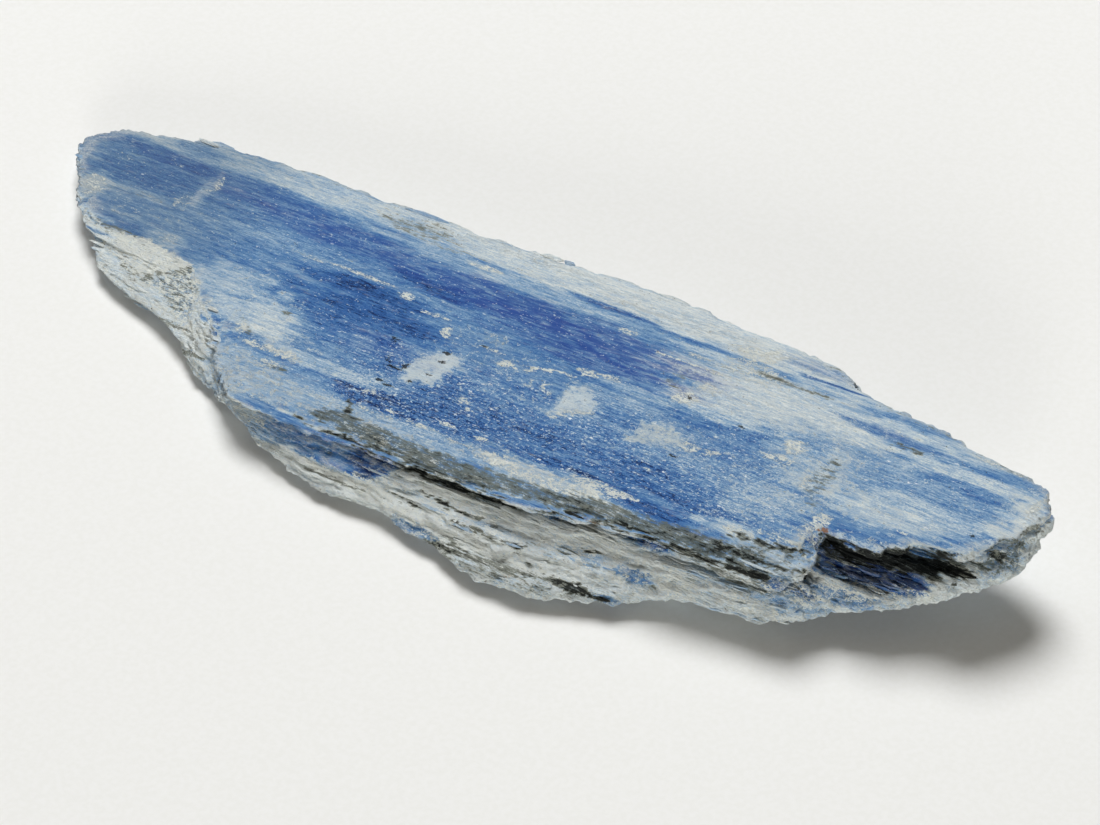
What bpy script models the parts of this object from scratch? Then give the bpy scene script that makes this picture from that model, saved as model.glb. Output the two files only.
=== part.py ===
"""A hand-sized cluster of kyanite blades, lying on its flattest cleavage face.

Flat blades, all running along X, are stacked and set side by side. An upper plate of parallel
blades overhangs a pile of lower ones, with a narrow cleft between them along the front (-Y) side
that opens into a gap under the raised blade at the right (+X) end. The blades have grown
together, so all of them are joined into one solid. Outlines are in millimetres, seen from above,
and go round counterclockwise from the left end of the front side. The stack is laid out level
and evenly thick first, and then thinned towards its left end.
"""

import math
import random

import bmesh
import bpy
from mathutils import Matrix, Vector

NODE = "kyanite_blades"
MM = 0.001
SEED = 11
BLUE = (0.075, 0.18, 0.44, 1.0)
ROUGHNESS = 0.42

# Heights in mm above the ground.
TOP = 11.1  # the upper plate's broad face, over the origin
BROAD_FACE = (TOP, 0.002, 0.035)  # its plane: height over the origin, rise along X and Y
CLEFT_ROOF = 8.3  # the upper plate's underside along the front
CLEFT_FLOOR = 7.5  # the highest of the lower blades there
REST = 0.0  # the flat face that the cluster lies on

# The stack thins towards the left and leans back. Each point sinks along its line to LEAN_FROM,
# until its height is multiplied by MIDDLE_SHARE, plus SHARE_RISE for each mm along X. That
# swings the grain round by GRAIN_TURN, which is then turned back.
LEAN_FROM = Vector((148.62, -256.47, 272.65))
LEAN_LEVEL = 11.0  # the height at which the distance along X is read
MIDDLE_SHARE = 0.53
SHARE_RISE = 0.007
GRAIN_TURN = math.radians(4.06)

# Broken edges: the usual distance between their corners, and how far a corner is knocked aside
# along the grain and across it.
SPACING = 3.6
FINE_SPACING = 2.6
LONG_SPACING = 5.0
KNOCK_ALONG = 0.5
KNOCK_ACROSS = 0.22

# Laths on the edges, and terraces on the broad face: the spans of their sizes.
LATH_LENGTH = (2.6, 7.5)
LATH_WIDTH = (0.7, 1.5)
LATH_THICK = (0.35, 0.8)
LATH_TILT = (0.02, 0.12)
TERRACES = 26
TERRACE_HALF_LENGTH = (4.0, 13.0)
TERRACE_WIDTH = (0.5, 1.6)
TERRACE_RISE = (0.06, 0.22)

# The upper plate: a broad blade, the strip behind it and the raised blade at the right end.
BROAD = [
    (-42.4, -0.8), (-39.0, -1.4), (-35.0, -1.6), (-30.8, -2.1), (-28.4, -4.7), (-26.0, -6.7),
    (-21.6, -11.6), (-18.8, -13.2), (-13.0, -13.4), (-5.0, -13.1), (4.0, -12.9), (10.0, -12.3),
    (15.0, -11.5), (20.0, -10.9), (25.0, -10.2), (28.0, -8.8), (31.0, -7.2), (31.2, -5.2),
    (30.4, -2.0), (30.0, 4.0), (29.0, 9.6), (0.0, 9.9), (-34.0, 9.8), (-34.9, 6.6),
    (-36.0, 3.8), (-42.6, 3.2), (-43.4, 0.8),
]
FAR_STRIP = [
    (-39.5, 9.0), (27.0, 9.0), (28.6, 11.0), (26.0, 12.4), (24.0, 13.4), (19.8, 14.1),
    (10.0, 14.6), (4.0, 14.9), (-2.0, 14.6), (-13.0, 13.9), (-25.0, 14.0), (-36.5, 13.7),
]
RAISED = [
    (22.0, -2.0), (30.2, -3.4), (32.2, -4.6), (34.3, -5.0), (36.1, -4.9), (36.4, -3.6),
    (37.7, -3.4), (38.5, -2.1), (42.1, -1.9), (43.6, 0.0), (45.0, 2.0), (46.0, 4.4),
    (46.2, 6.0), (45.6, 7.2), (44.2, 8.2), (40.0, 9.2), (36.0, 9.9), (30.0, 10.6), (24.0, 11.0),
]
# The left end is four narrow blades of different lengths, with worn, rounded ends.
TIP_LONG = [
    (-48.1, 7.2), (-47.6, 5.9), (-46.7, 4.7), (-45.4, 3.9), (-24.0, 3.6), (-24.0, 10.2),
    (-44.6, 10.5), (-46.2, 10.1), (-47.3, 9.0),
]
TIP_FAR = [
    (-44.8, 9.8), (-22.0, 9.2), (-22.0, 12.6), (-40.8, 12.2), (-42.4, 12.1), (-43.8, 11.3),
]
TIP_EDGE = [
    (-40.8, 11.8), (-20.0, 11.0), (-20.0, 13.8), (-30.0, 13.8), (-36.0, 14.0), (-38.0, 14.0),
    (-39.9, 13.3),
]
TIP_NEAR = [
    (-45.9, 4.2), (-45.3, 2.6), (-44.7, 1.5), (-43.8, 0.6), (-42.6, -0.2), (-34.0, -0.6),
    (-34.0, 5.0), (-45.6, 5.2),
]
# A broken face slopes down in front of them, from its head to its foot.
SLOPE_HEAD = [
    (-41.8, -0.4), (-38.8, -1.0), (-35.0, -1.2), (-31.6, -1.6), (-29.6, -2.4), (-27.6, -4.6),
    (-25.4, -6.6), (-24.0, -2.0), (-30.0, 2.0), (-40.0, 2.0),
]
SLOPE_FOOT = [
    (-43.0, 1.4), (-41.3, -0.8), (-37.2, -2.2), (-33.4, -3.7), (-31.0, -4.7), (-28.8, -5.8),
    (-26.8, -7.1), (-24.0, -2.0), (-30.0, 2.0), (-40.0, 2.6),
]
LEFT_FOOT = [
    (-43.2, 2.0), (-41.4, -0.3), (-39.0, -1.8), (-36.2, -2.5), (-33.8, -2.8), (-31.4, -3.4),
    (-29.0, -5.0), (-26.6, -6.6), (-24.0, 2.0), (-39.0, 4.0),
]
# Two short blades peel away below the plate's right end.
PEELED = [
    (16.0, -10.2), (24.0, -10.4), (29.4, -9.6), (31.2, -8.7), (31.8, -7.4), (31.0, -5.0),
    (20.0, -6.0),
]
PEELED_LOWER = [
    (14.0, -9.6), (22.0, -9.9), (28.4, -9.8), (30.4, -8.8), (30.0, -6.8), (28.0, -5.0),
    (20.0, -6.0),
]
# The raised blade's end is a sheaf of its own.
END_UPPER = [
    (38.0, 1.0), (43.0, -0.3), (44.7, 2.0), (46.0, 4.6), (46.4, 6.4), (45.6, 7.6), (40.0, 9.2),
]
END_LOWER = [
    (37.0, 2.0), (43.2, 0.8), (44.6, 2.8), (45.6, 4.8), (45.9, 6.8), (45.0, 8.0), (38.0, 9.4),
]
# Everything meets in the middle, set back from the front to leave the cleft open.
CORE = [
    (-42.0, 4.0), (-38.0, 1.0), (-30.0, -1.0), (-24.0, -5.5), (-18.0, -8.6), (-4.0, -9.0),
    (8.0, -8.4), (18.0, -6.8), (25.0, -4.6), (30.0, -0.6), (37.0, 2.6), (43.5, 5.2),
    (44.2, 7.6), (30.0, 9.0), (24.0, 12.0), (4.0, 13.4), (-20.0, 12.6), (-38.0, 12.0),
]
# The lower pile, from the cleft's floor down to the ledge that stands out furthest.
UPPER_LEDGE = [
    (-32.0, -1.2), (-29.4, -3.9), (-26.0, -6.2), (-21.8, -10.4), (-17.0, -12.0), (-10.0, -12.3),
    (-3.0, -12.3), (3.0, -12.5), (8.0, -12.1), (12.0, -11.3), (17.0, -10.0), (19.5, -9.2),
    (20.0, 4.0), (-30.0, 6.0),
]
UPPER_LEDGE_RIGHT = [
    (10.0, -10.6), (17.0, -10.4), (21.0, -10.1), (26.0, -9.7), (29.0, -9.0), (31.5, -7.3),
    (32.0, -2.0), (10.0, 0.0),
]
MIDDLE_LEDGE = [
    (-40.6, 1.2), (-36.0, -1.2), (-32.0, -2.6), (-29.2, -4.6), (-26.4, -6.4), (-22.4, -8.4),
    (-19.2, -10.6), (-13.0, -12.2), (-6.0, -12.3), (-1.0, -13.1), (4.0, -13.9), (9.0, -13.6),
    (13.0, -12.8), (17.0, -11.4), (21.0, -9.7), (27.0, -9.2), (31.0, -7.4), (26.0, 6.0),
    (-34.0, 9.0),
]
RIM_LEDGE = [
    (-37.6, -0.8), (-34.4, -1.5), (-31.8, -2.9), (-29.8, -4.7), (-27.4, -6.5), (-24.6, -7.9),
    (-21.6, -8.7), (-20.0, -9.9), (-18.0, -11.1), (-14.6, -12.3), (-11.4, -13.0),
    (-5.0, -12.7), (-2.2, -13.6), (0.4, -14.0), (2.6, -14.8), (5.4, -15.6), (8.0, -15.2),
    (10.2, -15.1), (12.4, -14.2), (16.7, -12.7), (18.0, -11.1), (21.0, -9.4), (24.0, -8.6),
    (27.6, -7.9), (30.2, -7.1), (24.0, 7.0), (-30.0, 8.0),
]
RIGHT_LEDGE = [
    (22.0, -8.7), (27.0, -8.4), (30.5, -7.5), (33.4, -6.1), (36.7, -4.6), (39.2, -2.9),
    (41.6, -1.3), (43.5, 0.5), (45.1, 3.0), (45.8, 5.6), (45.2, 7.2), (42.0, 8.6),
    (30.0, 9.6), (20.0, 8.0), (16.0, 0.0),
]
BASE = [
    (-31.0, -1.6), (-25.0, -5.0), (-17.0, -9.0), (-8.0, -11.2), (2.0, -12.4), (10.0, -12.2),
    (17.0, -9.6), (25.0, -6.4), (27.0, -1.0), (22.0, 5.5), (6.0, 9.0), (-16.0, 8.6),
    (-28.0, 6.0),
]
# The back is a stack of its own, which stands out further as it goes down.
BACK_UPPER = [
    (-30.0, 8.0), (24.0, 8.0), (28.0, 10.6), (22.0, 13.6), (8.0, 15.1), (-6.0, 14.7),
    (-22.0, 14.6), (-35.0, 12.4),
]
BACK_MIDDLE = [
    (-28.0, 6.0), (26.0, 6.0), (31.0, 9.4), (24.0, 12.8), (10.0, 14.8), (0.0, 15.3),
    (-14.0, 14.9), (-26.0, 13.6), (-34.0, 10.6),
]
BACK_LOWER = [
    (-26.0, 4.0), (22.0, 4.0), (25.0, 8.0), (16.0, 12.0), (2.0, 13.4), (-12.0, 12.8),
    (-24.0, 10.8), (-29.0, 7.0),
]

# The blades of each group, from the first made to the last. A row holds the outline, the distance
# between the corners that break it up (0 leaves it as it is), how far it is set in, the plane of
# its lower side, the plane of its upper side, and how much wider it is below.
LOWER_PILE = [
    (UPPER_LEDGE, 3.0, 0, (5.0, 0, 0.01), (CLEFT_FLOOR, -0.006, 0.01), 0.3),
    (UPPER_LEDGE_RIGHT, 3.0, 0, (4.6, 0, 0.01), (6.6, -0.004, 0.02), 0.2),
    (MIDDLE_LEDGE, 3.0, 0, (3.2, -0.02, 0.01), (5.7, -0.012, 0.015), 0.4),
    (RIM_LEDGE, 3.0, 0, (2.0, -0.012, 0.02), (3.9, -0.014, 0.02), -0.1),
    (RIGHT_LEDGE, FINE_SPACING, 0, (-1.5, 0.155, 0.1), (6.1, 0.026, 0.236), -0.1),
    (RIM_LEDGE, 0, 0.9, (0.95, -0.01, 0), (2.6, -0.01, 0), -0.9),
    (BASE, LONG_SPACING, 0, (REST, 0, 0), (2.4, 0, 0.01), -1.2),
    (CORE, LONG_SPACING, 0, (3.6, 0.06, 0), (10.2, 0, 0.01), 0),
]
UPPER_PLATE = [
    (BROAD, SPACING, 0.35, (CLEFT_ROOF + 1.1, -0.002, 0.01), BROAD_FACE, 0.5),
    (BROAD, SPACING, 0.4, (CLEFT_ROOF, -0.006, 0), (CLEFT_ROOF + 1.4, -0.003, 0.02), -0.3),
    (FAR_STRIP, SPACING, 0, (8.3, 0, 0.03), (TOP + 1.5, 0.002, -0.13), 0.3),
    (RAISED, 2.4, 0, (9.3, 0.018, 0.02), (10.75, 0.004, 0.045), 0.1),
    (END_UPPER, 2.0, 0, (7.6, 0.014, 0), (8.9, 0.016, 0.02), -0.2),
    (END_LOWER, 2.0, 0, (6.2, 0.014, 0), (7.6, 0.014, 0.02), -0.3),
    (RAISED, 3.0, 1.2, (7.9, 0.022, 0.02), (9.8, 0.01, 0.03), -0.5),
    (PEELED, FINE_SPACING, 0, (7.7, 0.008, 0), (9.1, 0.006, 0.03), -0.2),
    (PEELED_LOWER, FINE_SPACING, 0, (7.0, 0, 0), (7.9, 0.004, 0.02), -0.2),
]
LEFT_TIPS = [
    (TIP_LONG, SPACING, 0, (5.6, -0.045, 0), (10.95, 0.002, 0.035), -0.7),
    (TIP_FAR, SPACING, 0, (4.9, -0.04, 0), (11.4, 0.002, -0.03), -0.5),
    (TIP_EDGE, SPACING, 0, (4.4, -0.03, 0), (12.2, 0.004, -0.12), -0.3),
    (TIP_NEAR, 2.8, 0, (4.2, -0.07, 0), (10.75, 0.004, 0.06), -0.9),
    (LEFT_FOOT, FINE_SPACING, 0, (2.4, -0.01, 0.02), (7.0, 0.01, 0.05), -1.3),
]
SLOPE_PLANES = (4.6, 0, 0), (10.7, 0, 0.05)
BACK = [
    (BACK_UPPER, SPACING, 0, (5.6, 0.01, 0), (9.0, 0.006, -0.02), 0.3),
    (BACK_MIDDLE, SPACING, 0, (2.9, 0.03, 0), (6.5, 0.01, -0.03), 0),
    (BACK_LOWER, SPACING, 0, (1.1, 0.02, 0), (3.6, 0.02, 0.02), -0.6),
]
# The laths along each edge: the outline, the first and last of its corners, the lowest and
# highest underside, and how many there are.
LATHS = [
    (BROAD, 3, 13, 8.9, 10.0, 26),
    (UPPER_LEDGE, 2, 13, 5.2, 6.2, 22),
    (MIDDLE_LEDGE, 2, 15, 3.6, 5.0, 24),
    (RIM_LEDGE, 3, 22, 2.0, 3.2, 18),
    (RIGHT_LEDGE, 1, 5, 3.6, 4.6, 12),
    (FAR_STRIP, 3, 10, 8.8, 9.8, 12),
    (BACK_UPPER, 2, 6, 5.6, 7.4, 18),
    (BACK_MIDDLE, 2, 7, 3.2, 5.2, 18),
    (BACK_LOWER, 2, 6, 1.4, 2.8, 12),
]


def height_over(plane, x, y):
    """Height in mm of a plane over a point: its height at the origin, then its rise along X, Y."""
    return plane[0] + plane[1] * x + plane[2] * y


def flared(outline, amount):
    """The outline with each corner moved outwards by amount."""
    moved = []
    for i, point in enumerate(outline):
        before = (Vector(point) - Vector(outline[i - 1])).normalized()
        after = (Vector(outline[(i + 1) % len(outline)]) - Vector(point)).normalized()
        along = (before + after).normalized()
        moved.append((point[0] + along.y * amount, point[1] - along.x * amount))
    return moved


def broken(outline, rng, spacing):
    """The outline with more corners, each knocked aside as cleavage leaves an edge.

    A side that runs with the grain stays nearly straight, and one across it is more ragged.
    """
    points = []
    for start, end in zip(outline, outline[1:] + outline[:1]):
        side = Vector(end) - Vector(start)
        across = abs(side.y) / side.length
        parts = max(1, round(side.length / spacing))
        points.append(start)
        for k in range(1, parts):
            at = Vector(start) + side * (k + rng.uniform(-0.25, 0.25)) / parts
            knock_x = rng.uniform(-KNOCK_ALONG, KNOCK_ALONG) * across
            knock_y = rng.uniform(-KNOCK_ACROSS, KNOCK_ACROSS)
            points.append((at.x + knock_x, at.y + knock_y))
    return points


def add_blade(outline, low, high, flare=0.0, base=None):
    """One flat crystal between two planes.

    Its lower side is wider than its upper by flare, or has an outline of its own, base.
    """
    bm = bmesh.new()
    foot = [(x, y, height_over(low, x, y)) for x, y in base or flared(outline, flare)]
    head = [(x, y, height_over(high, x, y)) for x, y in outline]
    lower = [bm.verts.new(Vector(point) * MM) for point in foot]
    upper = [bm.verts.new(Vector(point) * MM) for point in head]
    bm.faces.new(lower[::-1])
    bm.faces.new(upper)
    for i in range(len(outline)):
        j = (i + 1) % len(outline)
        bm.faces.new((lower[i], lower[j], upper[j], upper[i]))
    mesh = bpy.data.meshes.new("blade")
    bm.to_mesh(mesh)
    bm.free()
    piece = bpy.data.objects.new("blade", mesh)
    pieces.objects.link(piece)
    return piece


def add_blades(rng, rows):
    """One blade for each row of a group's table."""
    for outline, spacing, inset, low, high, flare in rows:
        if spacing:
            outline = broken(outline, rng, spacing)
        if inset:
            outline = flared(outline, -inset)
        add_blade(outline, low, high, flare)


def add_left_end(rng):
    """Narrow blades that end at different lengths, and the broken face in front of them."""
    add_blades(rng, LEFT_TIPS[:-1])
    add_blade(SLOPE_HEAD, *SLOPE_PLANES, base=SLOPE_FOOT)
    add_blades(rng, LEFT_TIPS[-1:])


def add_laths(rng, outline, first, last, low, high, count):
    """Thin, pointed laths that stand out a little along a stretch of an edge, between heights."""
    for _ in range(count):
        k = rng.randrange(first, last)
        start = Vector(outline[k])
        middle = start.lerp(Vector(outline[k + 1]), rng.random())
        side = (Vector(outline[k + 1]) - start).normalized()
        inward = Vector((-side.y, side.x))
        length = rng.uniform(*LATH_LENGTH)
        middle += inward * (rng.uniform(-0.15, 0.55) + length * 0.42 * abs(side.y))
        width = rng.uniform(*LATH_WIDTH)
        thick = rng.uniform(*LATH_THICK)
        skew = side.y * length * 0.25
        bottom = rng.uniform(low, high)
        lath = [
            (middle.x - length * 0.5, middle.y - skew),
            (middle.x - length * 0.2, middle.y - width * 0.5 - skew * 0.4),
            (middle.x + length * 0.3, middle.y - width * 0.4 + skew * 0.6),
            (middle.x + length * 0.5, middle.y + skew),
            (middle.x + length * 0.1, middle.y + width * 0.3),
        ]
        tilt = [rng.uniform(-most, most) for most in LATH_TILT]
        lift = bottom - tilt[0] * middle.x - tilt[1] * middle.y
        add_blade(lath, (lift, *tilt), (lift + thick, *tilt), 0.1)


def add_terraces(rng):
    """Long, very low plates on the broad face, where its outer layers have partly split off."""
    for _ in range(TERRACES):
        x = rng.uniform(-34.0, 18.0)
        y = rng.uniform(-10.4, 8.2) if x > -16.0 else rng.uniform(1.0, 8.2)
        half = min(rng.uniform(*TERRACE_HALF_LENGTH), x + 40.0)
        width = rng.uniform(*TERRACE_WIDTH)
        plate = [
            (x - half, y),
            (x - half * 0.5, y - width * 0.6),
            (x + half * 0.7, y - width * 0.5),
            (x + half, y + width * 0.2),
            (x + half * 0.3, y + width * 0.7),
        ]
        rise = rng.uniform(*TERRACE_RISE)
        plane = (BROAD_FACE[0] + rise, BROAD_FACE[1], BROAD_FACE[2] + rng.uniform(-0.01, 0.01))
        add_blade(plate, (10.0, 0, 0.02), plane, 0.2)


def sunk(point):
    """Where a point of the level stack, in mm, goes as the stack thins and leans."""
    line = LEAN_FROM - point
    across = point + line * ((LEAN_LEVEL - point.z) / line.z)
    share = MIDDLE_SHARE + SHARE_RISE * across.x
    return point + line * ((share - 1) * point.z / line.z)


def joined():
    """All the blades as one closed mesh, with the origin under the middle of its box."""
    first = pieces.objects[0]
    others = bpy.data.collections.new("others")
    for piece in pieces.objects[1:]:
        others.objects.link(piece)
    join = first.modifiers.new("join", "BOOLEAN")
    join.operation = "UNION"
    join.operand_type = "COLLECTION"
    join.collection = others
    bpy.context.view_layer.update()
    evaluated = first.evaluated_get(bpy.context.evaluated_depsgraph_get())
    mesh = bpy.data.meshes.new_from_object(evaluated)
    mesh.name = NODE
    turn = Matrix.Rotation(GRAIN_TURN, 3, "Z")
    for v in mesh.vertices:
        v.co = turn @ sunk(v.co / MM) * MM
    xs, ys, zs = zip(*(v.co for v in mesh.vertices))
    middle = Vector(((min(xs) + max(xs)) / 2, (min(ys) + max(ys)) / 2, min(zs)))
    for v in mesh.vertices:
        v.co -= middle
    return mesh


def stone_material():
    material = bpy.data.materials.new("kyanite")
    material.diffuse_color = BLUE
    material.use_nodes = True
    shader = material.node_tree.nodes["Principled BSDF"]
    shader.inputs["Base Color"].default_value = BLUE
    shader.inputs["Roughness"].default_value = ROUGHNESS
    shader.inputs["Metallic"].default_value = 0.0
    return material


for old in list(bpy.data.objects):
    bpy.data.objects.remove(old)

pieces = bpy.data.collections.new("pieces")
bpy.context.scene.collection.children.link(pieces)
chance = random.Random(SEED)
add_blades(chance, LOWER_PILE)
add_blades(chance, UPPER_PLATE)
add_left_end(chance)
add_blades(chance, BACK)
add_terraces(chance)
for row in LATHS:
    add_laths(chance, *row)
cluster = bpy.data.objects.new(NODE, joined())
cluster.data.materials.clear()
cluster.data.materials.append(stone_material())
for piece in list(pieces.objects):
    bpy.data.objects.remove(piece)
bpy.context.scene.collection.objects.link(cluster)
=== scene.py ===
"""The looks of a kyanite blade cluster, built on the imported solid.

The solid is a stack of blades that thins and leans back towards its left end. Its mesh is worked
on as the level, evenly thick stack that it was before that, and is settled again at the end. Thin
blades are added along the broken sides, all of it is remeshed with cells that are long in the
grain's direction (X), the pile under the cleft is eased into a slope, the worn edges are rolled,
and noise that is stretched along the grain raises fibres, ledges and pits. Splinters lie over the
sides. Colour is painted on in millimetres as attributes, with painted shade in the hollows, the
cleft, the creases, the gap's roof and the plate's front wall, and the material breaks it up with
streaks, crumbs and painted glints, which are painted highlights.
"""

import itertools
import math
import random

import bmesh
import bpy
import numpy as np
from mathutils import Matrix, Vector
from mathutils.bvhtree import BVHTree


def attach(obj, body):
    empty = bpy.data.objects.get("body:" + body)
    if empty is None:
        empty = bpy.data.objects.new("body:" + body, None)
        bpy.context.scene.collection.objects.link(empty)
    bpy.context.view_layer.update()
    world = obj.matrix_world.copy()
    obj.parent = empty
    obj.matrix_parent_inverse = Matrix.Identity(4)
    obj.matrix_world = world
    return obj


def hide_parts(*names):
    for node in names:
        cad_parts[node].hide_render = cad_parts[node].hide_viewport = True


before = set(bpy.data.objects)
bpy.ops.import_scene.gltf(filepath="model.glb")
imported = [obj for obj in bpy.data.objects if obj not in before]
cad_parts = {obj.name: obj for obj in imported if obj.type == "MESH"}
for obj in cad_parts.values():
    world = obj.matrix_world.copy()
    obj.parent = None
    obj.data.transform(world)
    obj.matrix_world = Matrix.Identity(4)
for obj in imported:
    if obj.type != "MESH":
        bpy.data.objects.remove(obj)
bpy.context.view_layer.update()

MM = 0.001
NODE = "kyanite_blades"

# How the level stack was settled, in mm: each point sank along its line to LEAN_FROM until its
# height was multiplied by MIDDLE_SHARE, plus SHARE_RISE for each mm along X, and then the grain
# was turned back along X and the middle of the box was moved over the origin.
LEAN_FROM = np.array((148.62, -256.47, 272.65))
LEAN_LEVEL = 11.0
MIDDLE_SHARE = 0.53
SHARE_RISE = 0.007
GRAIN_TURN = math.radians(4.06)
MIDDLE = np.array((-5.33, 2.785, 0.0))

# The camera: where it looks from, in degrees and mm, and what it looks at.
VIEW_AZIMUTH = 33.56
VIEW_ELEVATION = 42.0
VIEW_DISTANCE = 400.0
VIEW_LENS = 155.78
VIEW_AIM = Vector((7.415, -0.381, 5.0))

# The remesh, in mm: cells are CELL across the grain and CELL / SQUEEZE along it. At the height
# of PARTING the body is cut into its upper and its lower piece.
CELL = 0.15
SQUEEZE = 0.4
PARTING = 8.05

# The pile under the cleft is eased into a slope: not at all above the first of these heights in
# mm, and fully below the second.
PILE_TOP = (7.4, 6.6)

# The lamps: how far away they are in metres, and the watts that light the floor fully.
LAMP_DISTANCE = 1.6
LIGHT = 26.8
DAY = (0.98, 0.99, 1.0)
WARM = (1.0, 0.90, 0.76)
# Each lamp: azimuth and elevation in degrees, size in metres, share of the light, and colour.
LAMPS = {
    "window": (126, 57, 0.80, 0.79, DAY),
    "window_side": (152, 58, 1.0, 0.08, DAY),
    "ceiling": (90, 84, 1.8, 0.04, WARM),
    "front_card": (300, 9, 0.5, 0.092, (1.0, 0.99, 0.95)),
}
ROOM_COLOUR = (1.0, 0.84, 0.64, 1.0)
ROOM_STRENGTH = 0.048

# Splinters: how many kinds there are, the corners of their outline between the two points, the
# corners that are tested for sticking out, and the height in mm from which the low steps on the
# upper face are left bare.
LATH_KINDS = 14
LATH_FRONT = ((-0.3, -0.36), (0.16, -0.5), (0.38, -0.3))
LATH_BACK = ((0.24, 0.4), (-0.2, 0.5))
LATH_CORNERS = ((-0.46, 0.0, 0.0), (0.46, 0.0, 0.0), (0.0, -0.45, 0.0), (0.0, 0.45, 0.0))
TOP_STEPS = 9.4

# The upper plate's own side keeps few splinters: from which height, and how many are left out.
PLATE_SIDE = 8.3
PLATE_BARE = 0.75


# ---------------------------------------------------------------- the level stack


def plan_of(co):
    """Where each point's line to LEAN_FROM passes LEAN_LEVEL, in mm along X and Y."""
    rise = (LEAN_LEVEL - co[:, 2]) / (LEAN_FROM[2] - co[:, 2])
    return (co[:, :2] + (LEAN_FROM[:2] - co[:, :2]) * rise[:, None]).T


def moved_to(co, height):
    """Each point moved along its line to LEAN_FROM until it is at that height."""
    part = (height - co[:, 2]) / (LEAN_FROM[2] - co[:, 2])
    return co + (LEAN_FROM - co) * part[:, None]


def thinning(co):
    return MIDDLE_SHARE + SHARE_RISE * plan_of(co)[0]


def grain_turn():
    return np.array(Matrix.Rotation(GRAIN_TURN, 3, "Z"))


def levelled(co):
    """The points of the settled stone, in mm, as they were in the level stack."""
    co = (co + MIDDLE) @ grain_turn()
    return moved_to(co, co[:, 2] / thinning(co))


def settled(co):
    """The points of the level stack as they are in the settled stone."""
    return moved_to(co, co[:, 2] * thinning(co)) @ grain_turn().T - MIDDLE


# ---------------------------------------------------------------- noise


def perlin(points, seed):
    """Smooth noise of about -1 to 1 at each point, with features about one unit apart."""
    rng = np.random.default_rng(seed)
    order = rng.permutation(256)
    slopes = rng.normal(size=(256, 3))
    slopes /= np.linalg.norm(slopes, axis=1)[:, None]
    cell = np.floor(points).astype(np.int64)
    within = points - cell
    ease = within**3 * (within * (within * 6 - 15) + 10)
    total = np.zeros(len(points))
    for corner in itertools.product((0, 1), repeat=3):
        at = cell + corner
        k = order[(at[:, 2] + order[(at[:, 1] + order[at[:, 0] & 255]) & 255]) & 255]
        height = (slopes[k] * (within - corner)).sum(axis=1)
        total += height * np.where(corner, ease, 1 - ease).prod(axis=1)
    return total * 1.7


def grain(points, across, along, seed):
    """Noise drawn out along X: features are across mm wide and along mm long."""
    return perlin(points / (along, across, across), seed)


def ramp(value, low, high):
    """0 at low, 1 at high, smooth between."""
    t = np.clip((value - low) / (high - low), 0, 1)
    return t * t * (3 - 2 * t)


def stepped(value, steps, sharp=4.0):
    """The value turned into a flight of steps with short risers."""
    level = value * steps
    base = np.floor(level)
    return (base + np.clip((level - base - 0.5) * sharp + 0.5, 0, 1)) / steps


# ---------------------------------------------------------------- splinters


def lath_template(rng):
    """A thin closed sliver 1 long in X, 1 wide and 1 thick, with torn, pointed ends."""
    bm = bmesh.new()
    skew = rng.uniform(-0.3, 0.3)
    outline = [(-0.5, skew), *LATH_FRONT, (0.5, -skew), *LATH_BACK]
    corners = []
    for x, y in outline:
        knock = rng.uniform(0.8, 1.0)
        corners.append(bm.verts.new((x * knock, y * rng.uniform(0.7, 1.0), -0.5)))
    lower = bm.faces.new(corners)
    grown = bmesh.ops.extrude_face_region(bm, geom=[lower])
    upper = [v for v in grown["geom"] if isinstance(v, bmesh.types.BMVert)]
    bmesh.ops.translate(bm, vec=(0, 0, 1), verts=upper)
    for vert in upper:
        vert.co.x *= rng.uniform(0.84, 1.0)
        vert.co.y *= rng.uniform(0.7, 1.0)
        vert.co.z += rng.uniform(-0.3, 0.0)
    bmesh.ops.recalc_face_normals(bm, faces=bm.faces)
    mesh = bpy.data.meshes.new("lath")
    bm.to_mesh(mesh)
    bm.free()
    return mesh


def lath_templates(seed, count):
    rng = random.Random(seed)
    return [lath_template(rng) for _ in range(count)]


def gathered(templates, places):
    """One mesh of many laths. Each place is (template number, matrix)."""
    bm = bmesh.new()
    for number, matrix in places:
        lath = templates[number].copy()
        lath.transform(matrix)
        bm.from_mesh(lath)
        bpy.data.meshes.remove(lath)
    return bm


def small_turn(rng, roll, yaw, pitch=0.0):
    """A slight turn about the grain, the vertical and the width, in radians."""
    turn = Matrix.Rotation(rng.uniform(-yaw, yaw), 4, "Z")
    turn = turn @ Matrix.Rotation(rng.uniform(-pitch, pitch), 4, "Y")
    return turn @ Matrix.Rotation(rng.uniform(-roll, roll), 4, "X")


def random_points(faces, rng, count):
    """Points spread over the faces by area, each with its face's normal."""
    areas = [f.calc_area() for f in faces]
    for face in rng.choices(faces, areas, k=count):
        corners = [v.co for v in face.verts]
        a, b = sorted((rng.random(), rng.random()))
        point = corners[0] * a + corners[1] * (b - a) + corners[2] * (1 - b)
        yield point, face.normal.copy()


def lath_at(rng, point, out, length, width, thick, proud):
    """The matrix of a lath whose far corner stands proud of the face at point."""
    level = Vector((out.x, out.y, 0))
    lean = level.length
    if lean > 0.05:
        level /= lean
        length = min(length, 2.2 / max(abs(level.x), 0.05))
        reach = abs(level.x) * length / 2 + abs(level.y) * width / 2
        point = point + level * (proud - reach) * min(1.0, lean * 1.6)
    if out.z > 0.4:
        point = point + Vector((0, 0, proud - thick * 0.5)) * out.z
    size = Matrix.Diagonal((length, width, thick, 1))
    return Matrix.Translation(point) @ small_turn(rng, 0.16, 0.05, 0.03) @ size


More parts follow.
